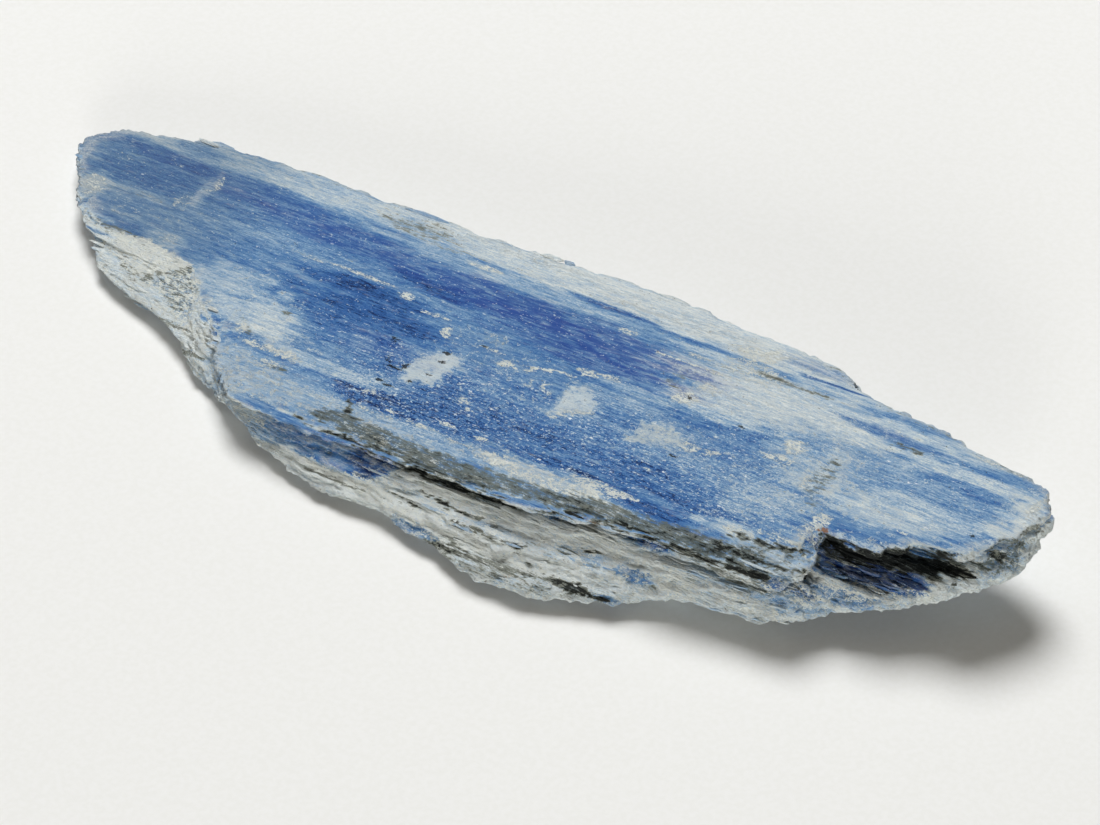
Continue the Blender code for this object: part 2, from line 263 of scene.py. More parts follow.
def is_broken(face):
    """Whether a face is on the broken sides: upright, or one of the lower steps."""
    middle = face.calc_center_median()
    lowest = min(v.co.z for v in face.verts)
    if abs(face.normal.z) < 0.7:
        return lowest < TOP_STEPS
    return face.normal.z > 0.6 and 0.5 < middle.z < PARTING


def lies_on(stone, matrix, most):
    """Whether a lath's corners are inside the stone or less than most mm away from it."""
    for corner in LATH_CORNERS:
        at = matrix @ Vector(corner)
        near, normal, _, apart = stone.find_nearest(at)
        if at.z < 0.15 or (apart > most and (at - near).dot(normal) > 0):
            return False
    return True


def side_laths(bm, rng, count, lengths, widths, thicks, prouds, most):
    """Places for laths on the broken faces, each with the way its face looks."""
    stone = BVHTree.FromBMesh(bm)
    faces = [f for f in bm.faces if is_broken(f)]
    for point, out in random_points(faces, rng, count):
        if point.z > PLATE_SIDE and rng.random() < PLATE_BARE:
            continue
        sizes = [rng.uniform(*span) for span in (lengths, widths, thicks)]
        matrix = lath_at(rng, point, out, *sizes, rng.uniform(*prouds))
        number = rng.randrange(LATH_KINDS)
        if lies_on(stone, matrix, most):
            yield (number, matrix), tuple(out)


# ---------------------------------------------------------------- body


def level_solid():
    """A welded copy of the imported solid, in mm, as the level stack."""
    bm = bmesh.new()
    bm.from_mesh(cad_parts[NODE].data)
    places = levelled(np.array([tuple(v.co) for v in bm.verts]) / MM)
    for vert, place in zip(bm.verts, places):
        vert.co = place
    bmesh.ops.remove_doubles(bm, verts=bm.verts, dist=0.002)
    bm.normal_update()
    return bm


def remeshed(bm):
    """The union of all shells in bm as one even mesh, with cells drawn out along X."""
    bmesh.ops.scale(bm, vec=(SQUEEZE, 1, 1), verts=bm.verts)
    rough = bpy.data.meshes.new("rough")
    bm.to_mesh(rough)
    bm.free()
    holder = bpy.data.objects.new("rough", rough)
    bpy.context.scene.collection.objects.link(holder)
    voxels = holder.modifiers.new("voxels", "REMESH")
    voxels.mode = "VOXEL"
    voxels.voxel_size = CELL
    bpy.context.view_layer.update()
    evaluated = holder.evaluated_get(bpy.context.evaluated_depsgraph_get())
    mesh = bpy.data.meshes.new_from_object(evaluated)
    bpy.data.objects.remove(holder)
    mesh.transform(Matrix.Diagonal((1 / SQUEEZE, 1, 1, 1)))
    return mesh


def positions(mesh):
    co = np.empty(len(mesh.vertices) * 3, np.float32)
    mesh.vertices.foreach_get("co", co)
    return co.reshape(-1, 3).astype(float)


def normals(mesh):
    flat = np.empty(len(mesh.vertices) * 3, np.float32)
    mesh.vertex_normals.foreach_get("vector", flat)
    return flat.reshape(-1, 3).astype(float)


def put(mesh, co):
    mesh.vertices.foreach_set("co", co.astype(np.float32).ravel())
    mesh.update()


def edges_of(mesh):
    pairs = np.empty(len(mesh.edges) * 2, np.int32)
    mesh.edges.foreach_get("vertices", pairs)
    return pairs.reshape(-1, 2)


def smoothed(values, edges, rounds):
    """The values with each drawn, round by round, towards its neighbours' mean."""
    count = np.maximum(np.bincount(edges.ravel(), minlength=len(values)), 1)
    for _ in range(rounds):
        total = np.zeros_like(values)
        for axis in range(values.shape[1]):
            column = values[:, axis]
            total[:, axis] += np.bincount(edges[:, 0], column[edges[:, 1]], len(values))
            total[:, axis] += np.bincount(edges[:, 1], column[edges[:, 0]], len(values))
        values = 0.5 * values + 0.5 * total / count[:, None]
    return values


def hollowness(mesh, rounds):
    """How far each point lies below its smoothed surroundings, in mm; edges are negative."""
    co = positions(mesh)
    return ((smoothed(co, edges_of(mesh), rounds) - co) * normals(mesh)).sum(axis=1)


def beside(x, y, line):
    """How far each point is from a line in plan, with the line's own values carried along it."""
    nearest = np.full(len(x), 1e9)
    carried = np.zeros((len(x), len(line[0]) - 2))
    for start, end in zip(np.array(line[:-1], float), np.array(line[1:], float)):
        side = end[:2] - start[:2]
        t = ((x - start[0]) * side[0] + (y - start[1]) * side[1]) / (side @ side)
        t = np.clip(t, 0, 1)
        apart = np.hypot(x - start[0] - t * side[0], y - start[1] - t * side[1])
        closer = apart < nearest
        nearest = np.where(closer, apart, nearest)
        carried[closer] = (start[2:] + t[:, None] * (end[2:] - start[2:]))[closer]
    return nearest, carried


def ease_pile(co, edges, up):
    """Fills the inner corners of the front ledges, so that they make one rough slope."""
    move = smoothed(co, edges, 70) - co
    share = np.where((move * up).sum(axis=1) > 0, 0.95, 0.35)
    share *= ramp(co[:, 2], *PILE_TOP) * ramp(co[:, 1], 2.0, 0.0)
    co += move * share[:, None]


def ease_lip(co, edges):
    """Rounds the upper plate's front side and the broken face at the left."""
    apart, _ = beside(co[:, 0], co[:, 1], WORN_EDGE)
    front = ramp(co[:, 1], 1.0, -1.0)
    lip = ramp(apart, 3.4, 1.6) * ramp(co[:, 2], 8.0, 8.5) * front * 0.75
    left = ramp(co[:, 0], -23.0, -27.0) * ramp(co[:, 2], 10.4, 9.0) * front * 0.9
    co += (smoothed(co, edges, 24) - co) * np.maximum(lip, left)[:, None]


def roll_edges(co):
    """Lowers the upper plate towards its worn edges, as a rounded lip."""
    x, y = co[:, 0], co[:, 1]
    apart, carried = beside(x, y, WORN_EDGE)
    width, drop = carried.T
    waver = 1 + 0.5 * perlin(np.stack([x / 2.6, y / 2.6, 0 * x], axis=1), 14)
    near = np.clip(1 - apart / width, 0, 1)
    co[:, 2] -= drop * waver * near**1.8 * ramp(co[:, 2], 8.3, 10.6)


# ---------------------------------------------------------------- marks

# The upper plate's worn edge in plan: x, y, how wide the rounding is and how deep, in mm.
WORN_EDGE = [
    (44, 8.2, 0.8, 0.2), (36, 9.9, 1, 0.3), (29, 11.2, 1.2, 0.4), (19.8, 14.1, 1.6, 0.6),
    (4, 14.9, 1.6, 0.6), (-13, 13.9, 1.4, 0.5), (-36.5, 13.7, 1.4, 0.5), (-45.2, 11, 1.4, 0.6),
    (-48, 8, 1.5, 0.8), (-47.4, 5, 1.3, 0.7), (-45.4, 2.3, 1.2, 0.5), (-42.2, -0.7, 1.5, 0.7),
    (-39, -1.4, 2, 1), (-35, -1.6, 2.4, 1.2), (-30.8, -2.1, 3, 1.2), (-28.4, -4.7, 3.2, 1.3),
    (-26, -6.7, 3.4, 1.3), (-21.6, -11.6, 3, 1.2), (-18.8, -13.2, 2.6, 0.8), (-13, -13.4, 2.2, 0.7),
    (-5, -13.1, 2.2, 0.8), (4, -12.9, 2.4, 0.9), (10, -12.3, 2.6, 0.9), (15, -11.5, 2.4, 0.9),
    (20, -10.9, 2.2, 0.9), (25, -10.2, 2.4, 1), (28, -8.8, 2.2, 0.9), (31, -7.2, 1.4, 0.5),
    (31.2, -5.2, 0.8, 0.3),
]

# Marks on the plan of plan_of, in mm: (u, v, half length, half width, what it becomes). Later
# marks lie over earlier ones. Tone runs from 0, whitish, to 1, navy.
TONE = [
    # far strip and the pale ground of the right half
    (-20, 12.2, 30, 1.9, 0.26), (6, 12.4, 24, 2, 0.1), (-36, 12.4, 5, 1.2, 0.36),
    (22, 7, 12, 3.2, 0.16), (17, 4.2, 5.5, 1.8, 0.24), (27, 1, 5, 4, 0.36),
    (-6, 9.4, 14, 0.8, 0.34), (14, 9, 4, 1, 0.25),
    # left tip
    (-41, 9, 3.4, 0.9, 0.72), (-36.3, 9.1, 2, 0.7, 0.76), (-41, 6.4, 5, 1.6, 0.68),
    (-46.5, 7.5, 1.8, 2.4, 0.54), (-38.3, 11.4, 2.4, 0.8, 0.46), (-39, 3.6, 4.5, 0.5, 0.4),
    (-40, 1.8, 5, 1.5, 0.52), (-43.6, 2.8, 1.5, 1.8, 0.24), (-34.6, 6.8, 0.6, 2.4, 0.42),
    (-32.4, 5.9, 2.4, 0.45, 0.66), (-29, 3.6, 6, 1.2, 0.46), (-28, 1.4, 6, 0.9, 0.52),
    (-37, 10.4, 2.2, 0.45, 0.42), (-33.6, -0.3, 2.4, 1, 0.34), (-28, 9.2, 7, 0.9, 0.62),
    # left half of the plate
    (-15, 2.2, 6, 1, 0.82), (-14, -0.2, 8, 1.6, 0.8), (-16, -2.2, 5, 1.2, 0.7),
    (-11, 5.4, 4, 0.8, 0.84), (-26.5, -2.6, 3.6, 2, 0.28), (-24.5, -5.4, 2.6, 1.5, 0.32),
    (-21.4, -4, 2.6, 1.1, 0.22), (-19.6, -6, 2.8, 1.2, 0.18), (-15.4, -6.2, 3.2, 0.8, 0.58),
    (9, -10.8, 8, 1.2, 0.24), (-13, -7.7, 6.5, 0.9, 0.3), (-20.5, -10.5, 3.5, 1.4, 0.44),
    (-14, -9.6, 4, 0.8, 0.5), (-12.5, -3.8, 0.9, 1, 0.44), (-21, -1.8, 0.9, 0.6, 0.36),
    (-23.6, -0.9, 1.2, 0.8, 0.42), (-14, -11.6, 6, 1.3, 0.38), (-5, -5, 5, 1.4, 0.72),
    (-7, -9.3, 5, 1.1, 0.88), (-1, -8, 6, 1.6, 0.8), (5, -6.4, 6, 1.6, 0.74),
    (4, -8.6, 6, 0.9, 0.76), (-5, 2.9, 4, 1.4, 0.56), (-23, 4.4, 8, 0.8, 0.52),
    (-2, -11.4, 5, 1, 0.42),
    # right half of the plate
    (20, -3.5, 8, 3, 0.54), (17, -6.6, 7, 2, 0.66), (16, -5.6, 2.6, 0.9, 0.8),
    (19, -7.6, 7, 0.6, 0.8), (18, -9.6, 4, 0.8, 0.8), (13.4, -8.7, 2.8, 0.18, 0.95),
    (21.5, 0.6, 4, 0.9, 0.58), (21, -1.4, 3, 1, 0.62), (26, -4.5, 4, 2, 0.43),
    (22.5, -8.6, 0.7, 0.5, 0.28), (25.6, -8.6, 2.4, 0.8, 0.24), (10, 0.6, 3, 0.9, 0.44),
    (11, 2.2, 3.4, 0.6, 0.36), (4, 10.4, 4.5, 0.25, 0.8), (12.5, 10.1, 4.5, 0.3, 0.68),
    (22.4, 12.2, 3.2, 0.7, 0.28), (25, 10.85, 3.2, 0.16, 0.74), (26.6, 3.8, 2, 1, 0.46),
    (8, 8.6, 5, 0.5, 0.52),
    # raised blade at the right
    (37, 3, 8, 4.5, 0.27), (39, 4.6, 4.6, 1, 0.66), (40, 2.8, 3.4, 1.2, 0.5),
    (36.6, 3.4, 4, 1.2, 0.44), (31, 7.7, 4.6, 0.5, 0.58), (34, 6.3, 7, 0.5, 0.18),
    (35, -0.8, 4.5, 1.6, 0.24), (45.2, 4.2, 1.1, 3, 0.14), (33, 8.8, 6, 0.4, 0.3),
    (36, 8.9, 8, 0.9, 0.26), (42, 6.6, 3, 0.6, 0.2), (31.6, 3, 2.2, 2.2, 0.48),
    (44, 1.6, 1.2, 0.8, 0.2),
]
FROSTED = [
    (-23, -3, 5, 4, 0.3), (-19, -7, 4, 2, 0.4), (-12, -11.6, 8, 1.6, 0.3), (0, 12.4, 30, 2, 0.35),
    (22, 6.5, 10, 3.4, 0.45), (17, -1.5, 5, 2.5, 0.3), (25, -3, 4, 5, 0.35),
    (6, -10.6, 10, 1.6, 0.35), (27, -8, 5, 1.6, 0.4), (-38, 2, 6, 2, 0.25),
    (33, -1.5, 8, 2.4, 0.35), (44.5, 4, 2, 4, 0.35), (-2, 0.4, 5, 2, 0.3), (2, -4.5, 8, 2, 0.2),
    (30, 3.6, 3, 4, 0.35), (28, 0, 2.4, 3.6, 0.55), (9, -10.6, 7.5, 1.3, 0.45),
    (44.5, 3.4, 1.6, 4.5, 0.5),
]
# How many of the grains get a painted glint, a painted highlight.
PAINTED_GLINT_MARKS = [
    (-2, -6, 12, 5, 0.14), (-6, -9, 8, 2, 0.16), (14, -4, 12, 5, 0.13), (24, -4, 6, 5, 0.14),
    (-20, -5, 6, 5, 0.07), (22, 5, 10, 4, 0.1), (0, 5, 16, 3.5, 0.06), (38, 2, 9, 5, 0.07),
    (-38, 6, 9, 5, 0.04), (-20, 6, 10, 4, 0.05), (0, 12, 30, 2, 0.06),
]
INDIGO = [
    (-26, 7.7, 8, 0.9, 0.75), (-21, 6.6, 7, 0.8, 0.6), (-18, 8.3, 2.4, 0.6, 0.6),
    (0, 6.4, 12.5, 1.7, 0.95), (5.5, 4.3, 8, 1.4, 0.85), (-7, 7.7, 7, 0.6, 0.7),
    (11, 6.8, 4.5, 0.9, 0.7), (-38, 9, 6, 0.9, 0.35), (-10, -3.4, 4, 1.6, 0.35),
    (-28, 9.2, 6, 0.8, 0.35), (31, 7.7, 4.5, 0.45, 0.35), (22.4, 12.2, 3, 0.6, 0.3),
]
CREAM = [
    (-43.6, 2.8, 1.3, 1.6, 0.5), (-43.4, 7.2, 1.3, 0.5, 0.38), (-38.8, 8.7, 1.2, 0.4, 0.34),
    (-39, 3.6, 3, 0.4, 0.3), (-35.6, 4.6, 1, 1, 0.4), (-34.3, 7.8, 0.4, 1.5, 0.5),
    (-34.2, -0.2, 1.2, 0.7, 0.42), (-28.2, 9.6, 1.3, 0.5, 0.34), (-36.5, -4.6, 2.6, 0.5, 0.75),
    (-30, -5.4, 2, 1.8, 0.85), (-34, -6.4, 2.6, 0.9, 0.6), (-31.5, -7, 3, 0.8, 0.55),
    (-26.5, -9, 1.5, 1, 0.7), (-27.6, -6.6, 1.6, 1.6, 0.6), (-22, -6.9, 0.7, 0.6, 0.8),
    (-19.6, -8.2, 1.8, 0.5, 0.85), (-17.2, -8.2, 1.8, 0.5, 0.7), (-17.6, -9.6, 1.4, 0.4, 0.6),
    (-16.4, 3.85, 3.4, 0.22, 0.75), (-22.6, 3.6, 2.4, 0.2, 0.45), (-12.4, 3.2, 1, 0.5, 0.9),
    (-9, 2.4, 1.8, 0.25, 0.6), (-6.8, 1, 0.6, 0.7, 0.8), (-3, 2.2, 1.4, 0.7, 0.42),
    (-2.6, 0.9, 1.8, 0.2, 0.7), (-0.5, -0.1, 0.6, 0.4, 0.7), (6, 2.4, 1.3, 0.35, 0.85),
    (7.9, 2.7, 1.3, 0.25, 0.7), (2.4, -1.1, 0.12, 0.8, 0.9), (3.4, -1.1, 0.12, 0.8, 0.95),
    (4, -1.3, 0.12, 1, 0.95), (2, -1.9, 0.12, 0.4, 0.8), (-8, 9.75, 2.2, 0.35, 0.6),
    (6.4, 8.4, 1.2, 0.35, 0.7), (12.8, 7.5, 3.6, 0.1, 1), (14.3, 3.5, 1.1, 0.8, 0.85),
    (15.2, 5.4, 1.6, 0.7, 0.55), (12.4, 8.6, 1.6, 0.3, 0.5), (18, 9.2, 3.6, 1.4, 0.5),
    (17, 11.2, 2.2, 0.7, 0.75), (18.7, 12, 0.9, 0.3, 0.9), (25.2, 2.6, 1.3, 0.9, 0.7),
    (24.6, 0.8, 1.8, 0.7, 0.6), (27.7, -0.6, 0.3, 0.9, 0.8), (-1.6, -5.9, 0.6, 0.4, 0.8),
    (-0.7, -6.6, 0.6, 0.25, 0.8), (-1, -9, 0.9, 0.35, 0.85), (-6.2, -9.8, 0.9, 0.25, 0.85),
    (-8.6, -8.6, 0.8, 0.4, 0.6), (2.4, -9.2, 1.2, 0.25, 0.7), (-3, -10.2, 2, 0.2, 0.75),
    (1, -10.4, 1.6, 0.2, 0.6), (-7, -10.8, 2.4, 0.5, 0.5), (17.4, -1.6, 1, 0.5, 0.8),
    (19.3, -1.5, 0.9, 0.5, 0.6), (15.8, -5.7, 0.5, 0.2, 0.9), (9, -10.7, 7.5, 1.1, 0.42),
    (4.8, -10.6, 2, 0.7, 0.8), (8.5, -11, 3, 0.6, 0.65), (13.4, -9.6, 2.4, 0.75, 0.9),
    (16.1, -9.4, 0.9, 0.3, 1), (12, -10.8, 2.6, 0.5, 0.7), (25.4, -8.6, 1.8, 0.6, 0.5),
    (28.6, -7.6, 2.2, 0.4, 0.5), (31, -4.2, 0.7, 1.1, 1), (30.3, -6, 0.7, 1.2, 0.7),
    (37.2, -2.2, 0.7, 0.25, 0.9), (45.2, 5.4, 0.5, 2.2, 0.55), (41.5, 8.7, 3.4, 0.35, 0.6),
    (36, -4.2, 1.6, 0.6, 0.35), (-6, 12.9, 8, 0.5, 0.35), (8, 11.6, 6, 0.4, 0.4),
]
# Olive dirt, and painted shade in the creases at the left and along the front lip.
DIRT_AND_SHADE = [
    (-16, 11.5, 3.6, 1.1, 0.42), (-12, 10.4, 3, 0.3, 0.3), (-33, -5.4, 1.6, 0.25, 0.9),
    (-31.4, -4.2, 0.25, 1.2, 0.7), (-37, -3.6, 1.4, 0.3, 0.6), (-39, -1.3, 2.6, 0.25, 0.5),
    (-30, -7.2, 1.6, 0.35, 0.75), (-28.2, -8.2, 1.2, 0.3, 0.6), (22, 9.3, 3.4, 0.18, 0.6),
    (12.6, 5.2, 0.9, 1.1, 0.35), (28.5, 0.9, 0.8, 1.6, 0.28), (28.6, -1.6, 0.9, 0.8, 0.3),
    (-17, -9.9, 1.2, 0.3, 0.45), (-20, -3.5, 0.4, 0.28, 0.7), (-9, -12.9, 5, 0.5, 0.35),
    (10, -12.3, 7, 0.7, 0.45), (17, -11.3, 5, 0.7, 0.4), (24, -10.7, 5, 0.6, 0.4),
    (30, -9.2, 2, 0.7, 0.5),
]
# Dark specks: (u, v, half length, half width).
SPECKS = [
    (-5.7, -1.4, 0.35, 0.22), (-5.7, -2.4, 0.3, 0.2), (-9.3, -4.5, 0.3, 0.35),
    (-8.5, -5, 0.8, 0.12), (-7.7, -4.4, 0.2, 0.3), (-5.5, -4.5, 0.3, 0.14), (-8.9, -6.9, 0.35, 0.2),
    (-8, -7.2, 0.5, 0.14), (-6.6, -6, 0.3, 0.2), (-10.5, -1.9, 0.25, 0.3), (-3.2, 1, 0.35, 0.14),
    (16.6, -3.3, 0.4, 0.2), (42.4, 0.2, 0.28, 0.22), (20.4, 2.5, 0.3, 0.15), (14.7, 3.7, 0.2, 0.25),
]
RUSTY = [
    (31.8, -4.95, 0.4, 0.3, 0.9), (31.2, -5.3, 0.3, 0.2, 0.7), (14.5, -13.2, 1.8, 0.3, 0.4),
    (8, -14.2, 1.5, 0.35, 0.32), (-26.4, -9.4, 0.7, 0.5, 0.25), (12, -22, 3, 0.3, 0.25),
]
# The stepped front: tones, cream, dirt, and painted shade in its pockets and fissures, on the same
# plan.
FRONT_TONE = [
    (-32, -7, 8, 3, 0.1), (-20, -15, 6, 2, 0.22), (4, -18, 14, 4, 0.03), (45.2, -0.5, 1.6, 3, 0.42),
    (24, -15, 12, 4.5, 0.14), (-12, -16, 3, 1.4, 0.55), (-12, -16, 0.9, 0.9, 0.2),
    (-7, -17.3, 3.4, 0.8, 0.68), (-6, -15.7, 4.4, 1.2, 0.9), (-4, -16.4, 1.6, 1.2, 0.92),
    (4.5, -17, 6, 1, 0.18), (10, -18, 5, 0.8, 0.22), (20, -14.6, 3, 1, 0.5),
    (20.6, -13.2, 1.4, 0.4, 0.86), (21, -17.2, 1.4, 0.4, 0.62), (16, -16.8, 2.4, 0.7, 0.36),
    (20.5, -20.6, 1.6, 0.6, 0.56), (33, -13.4, 3, 1.5, 0.44), (32, -12.3, 2.2, 0.6, 0.8),
    (11.5, -14.2, 1.8, 0.6, 0.6), (36, -6.5, 5, 1.5, 1), (38, -9.4, 3.4, 1.3, 0.32),
    (36, -11.2, 3, 0.9, 0.58), (40, -7.4, 1.6, 1.2, 0.9), (3, -21.2, 2.6, 0.5, 0.5),
    (-15, -17.4, 4, 0.6, 0.4),
]
FRONT_CREAM = [
    (6, -17.6, 9, 2.4, 0.52), (17, -15.8, 6, 1.6, 0.46), (36.5, -9.8, 4, 1.3, 0.78),
    (-17.6, -14.4, 1.4, 0.6, 0.95), (-6.4, -13.3, 1.2, 0.4, 0.9), (-1, -16.4, 2.2, 1, 0.6),
    (-5, -18.7, 4.4, 0.4, 0.85), (2, -20.1, 3.4, 0.4, 0.6), (8, -20.4, 3.4, 0.5, 0.9),
    (13.5, -20.4, 3, 0.35, 0.6), (15, -13.9, 1.4, 0.5, 0.7), (7, -14.6, 1.2, 0.6, 0.6),
    (25, -15.6, 3, 1.2, 0.55), (23.6, -16.4, 0.8, 1, 0.75), (34, -12.8, 0.6, 0.9, 0.7),
    (41.5, -7.4, 1, 1.6, 0.6), (39, -11.2, 1.6, 1.5, 0.45), (31, -16.2, 4, 0.5, 0.5),
    (9, -22.6, 4, 0.6, 0.4), (38.8, -7.5, 0.8, 0.2, 1), (37.2, -9.8, 0.35, 0.3, 1),
    (35.8, -10.3, 0.7, 0.15, 1), (33.5, -8.6, 0.4, 0.2, 0.9), (38.4, -8.9, 0.3, 0.2, 1),
    (-22, -11.4, 1.6, 1.4, 0.5), (-25, -9.6, 1.4, 0.8, 0.6),
]
FRONT_DIRT_AND_SHADE = [
    (45.3, -0.5, 1.4, 2.6, 0.42), (10, -22.2, 7, 0.9, 0.36), (-6, -19.2, 3.4, 0.2, 0.6),
    (0, -18.2, 2.6, 0.14, 0.7), (1.6, -18.7, 0.8, 0.14, 0.8), (6.6, -21.6, 2.2, 0.3, 0.8),
    (12, -21.2, 2.2, 0.2, 0.5), (14.4, -17, 1.2, 0.12, 0.7), (13, -13.4, 2.4, 0.3, 0.7),
    (28, -13.6, 3.4, 0.6, 0.5), (17, -20.8, 2.2, 0.38, 1), (44.8, -0.8, 0.9, 0.6, 0.9),
    (42.7, -4, 1.4, 0.7, 1), (41.3, -5.6, 0.9, 0.5, 0.9), (45.5, 1.2, 0.7, 0.5, 0.6),
    (46, 3.2, 0.6, 1, 0.5), (44, -2.6, 1, 0.5, 0.6), (33, -8, 0.8, 0.8, 0.6),
    (-24, -12, 2, 0.3, 0.5), (-28, -9.6, 2.2, 0.4, 0.5),
]
# Outlines of patches, on the same plan.
LEAF_FLAKE = [
    (-4, -0.9), (-5.6, -1.2), (-6.6, -1.9), (-7.3, -3), (-7.8, -4.6), (-7.6, -5.4), (-7.4, -6.2),
    (-6.4, -6.3), (-6.2, -5.6), (-4.8, -5.6), (-4.4, -4.4), (-4, -2.5),
]
MIDDLE_FLAKE = [
    (5.4, 0.6), (6.4, 1), (7.6, 0.2), (8.3, -0.4), (8.9, -1.6), (8.6, -2.3), (7, -2.7), (6.4, -3.4),
    (6, -4.1), (4.8, -4.1), (5.6, -3), (5.3, -1.5),
]
RIGHT_FLAKE = [
    (12.4, -0.8), (14, 0), (15.4, 0), (16.4, -0.9), (17.6, -1.6), (17.4, -2.2), (15.6, -2.4),
    (14, -3), (12.2, -3.5), (12.9, -2.6),
]
CREAM_FACE = [
    (-38.2, -1.6), (-35, -1.2), (-33, -1.7), (-30.2, -2.2), (-30.4, -3), (-32, -4.4), (-32.8, -5.4),
    (-34, -5.6), (-36, -4.6), (-37.6, -3),
]
LOWER_CREAM_FACE = [
    (-30, -3), (-28, -4.6), (-26.6, -8.8), (-29, -7.6), (-31, -6.4), (-32.4, -6),
]
NAVY_BLOCK = [
    (-6, -14.6), (-2.1, -15), (-2.1, -16.1), (-3.3, -17.4), (-4.2, -17.3), (-6, -16.4),
]
# The plate's front wall, turned away from the window: grey-green, darkened with painted shade.
PLATE_WALL = [
    (-10, -11.8), (-4, -12.1), (4, -12.3), (10, -12), (16, -11.3), (22, -11), (28, -10.3),
    (31, -9.2), (32, -10.5), (30, -12), (22, -12.3), (16, -12.4), (10, -13.4), (4, -14.3),
    (-2, -14.6), (-8, -14), (-12, -13.6),
]
PLATE_CORNER = [
    (-22, -9), (-14, -10.6), (-6, -11.2), (2, -11.6), (2, -13.4), (-6, -14), (-14, -13.8),
    (-19, -14.8), (-23, -12),
]
PILE_HEAD = [
    (-1, -15.8), (8, -15.2), (16, -14), (24, -13.8), (24, -15.5), (14, -17), (2, -17.6),
]
LOBE = [
    (25.5, -9.2), (28, -8.9), (31, -8.3), (32.2, -8.8), (32.3, -9.8), (31.4, -10.4), (31.2, -11.4),
    (28, -11.6), (25.5, -10.6),
]
# The roof of the gap under the raised blade: painted shade, near black.
GAP_ROOF_SHADE = [
    (31.6, -5.2), (36, -5.2), (38, -3.6), (42, -2.2), (42.6, -4.4), (40, -6), (36, -7.4),
    (33, -7.4),
]
GAP_FLOOR = [
    (33, -7.4), (36, -7.4), (40, -6), (41.2, -6.6), (38, -8.8), (34.5, -9.4), (32.6, -9.6),
]
BLUE_STRIP = [
    (-14, -14.6), (-6, -15), (-6, -16.6), (-4.6, -17.3), (-6, -18.2), (-9, -18), (-14, -16.8),
]
# Patches: where they lie, the outline, and each value that they change, with what it becomes and
# how soft the outline is in mm.
PATCHES = [
    ("top", LEAF_FLAKE, {"frost": (0.8, 0.5), "tone": (0.4, 0.5)}),
    ("top", MIDDLE_FLAKE, {"frost": (0.8, 0.5), "tone": (0.42, 0.5)}),
    ("top", RIGHT_FLAKE, {"frost": (0.8, 0.5), "cream": (0.42, 0.5)}),
    ("all", CREAM_FACE, {"tone": (0.04, 0.3), "cream": (0.85, 0.3)}),
    ("all", LOWER_CREAM_FACE, {"dirt_and_shade": (0.32, 0.4), "tone": (0.32, 0.3), "cream": (0.7, 0.4)}),
    ("front", BLUE_STRIP, {"tone": (0.62, 0.3), "cream": (0, 0.3)}),
    ("front", NAVY_BLOCK, {"tone": (0.9, 0.15), "cream": (0, 0.15), "dirt_and_shade": (0.05, 0.15)}),
    ("all", PLATE_CORNER, {"tone": (0.36, 0.8), "frost": (0.42, 0.6), "cream": (0.34, 0.6)}),
    ("front", PILE_HEAD, {"cream": (0.6, 0.6), "tone": (0.08, 0.6), "dirt_and_shade": (-0.1, 0.6)}),
    ("all", PLATE_WALL, {"tone": (0.44, 0.4), "dirt_and_shade": (0.56, 0.4), "cream": (0.3, 0.4)}),
    (
        "all",
        LOBE,
        {"tone": (0.3, 0.2), "cream": (0.1, 0.2), "dirt_and_shade": (0.2, 0.2), "frost": (0.35, 0.2)},
    ),
    ("front", GAP_ROOF_SHADE, {"tone": (1, 0.3), "cream": (-0.3, 0.3), "dirt_and_shade": (1.1, 0.3)}),
    ("front", GAP_FLOOR, {"tone": (0.93, 0.4), "cream": (0.02, 0.4), "dirt_and_shade": (0, 0.4)}),
    ("front", [(-18, -14.2), (-16.2, -14.2), (-16.6, -15.3), (-17.6, -15)], {"cream": (0.9, 0.15)}),
    ("front", [(-7.2, -12.9), (-5.4, -12.6), (-3.6, -13.8), (-6.8, -13.5)], {"cream": (0.9, 0.15)}),
    ("front", [(19.5, -16.4), (22, -16.4), (22, -17.6), (19.5, -17.6)], {"tone": (0.62, 0.15)}),
    ("front", [(15.5, -20.5), (18.2, -20.1), (19, -20.8), (17, -21.3)], {"dirt_and_shade": (1, 0.15)}),
    ("front", [(20, -13), (21.6, -13.1), (21.4, -13.8), (20.2, -13.7)], {"tone": (0.74, 0.2)}),
    ("front", [(22.5, -15.4), (25, -15.6), (24.6, -17.4), (22.8, -17)], {"cream": (0.8, 0.3)}),
    ("front", [(28, -15), (34, -15), (33, -16), (28.4, -16.2)], {"cream": (0.7, 0.3)}),
    ("front", [(33.6, -12), (34.6, -12.2), (34.4, -13.8), (33.4, -13.6)], {"cream": (0.8, 0.2)}),
    (
        "front",
        [(0.6, -20.4), (3, -20.3), (5, -21.2), (4.8, -22), (2.6, -21.3)],
        {"tone": (0.5, 0.3)},
    ),
]
FAR_RIM = [
    (-36, 13.4), (-13, 13.7), (4, 14.6), (15, 14.3), (20, 14), (25, 12.7), (29, 11), (36, 10),
    (44, 8.4),
]
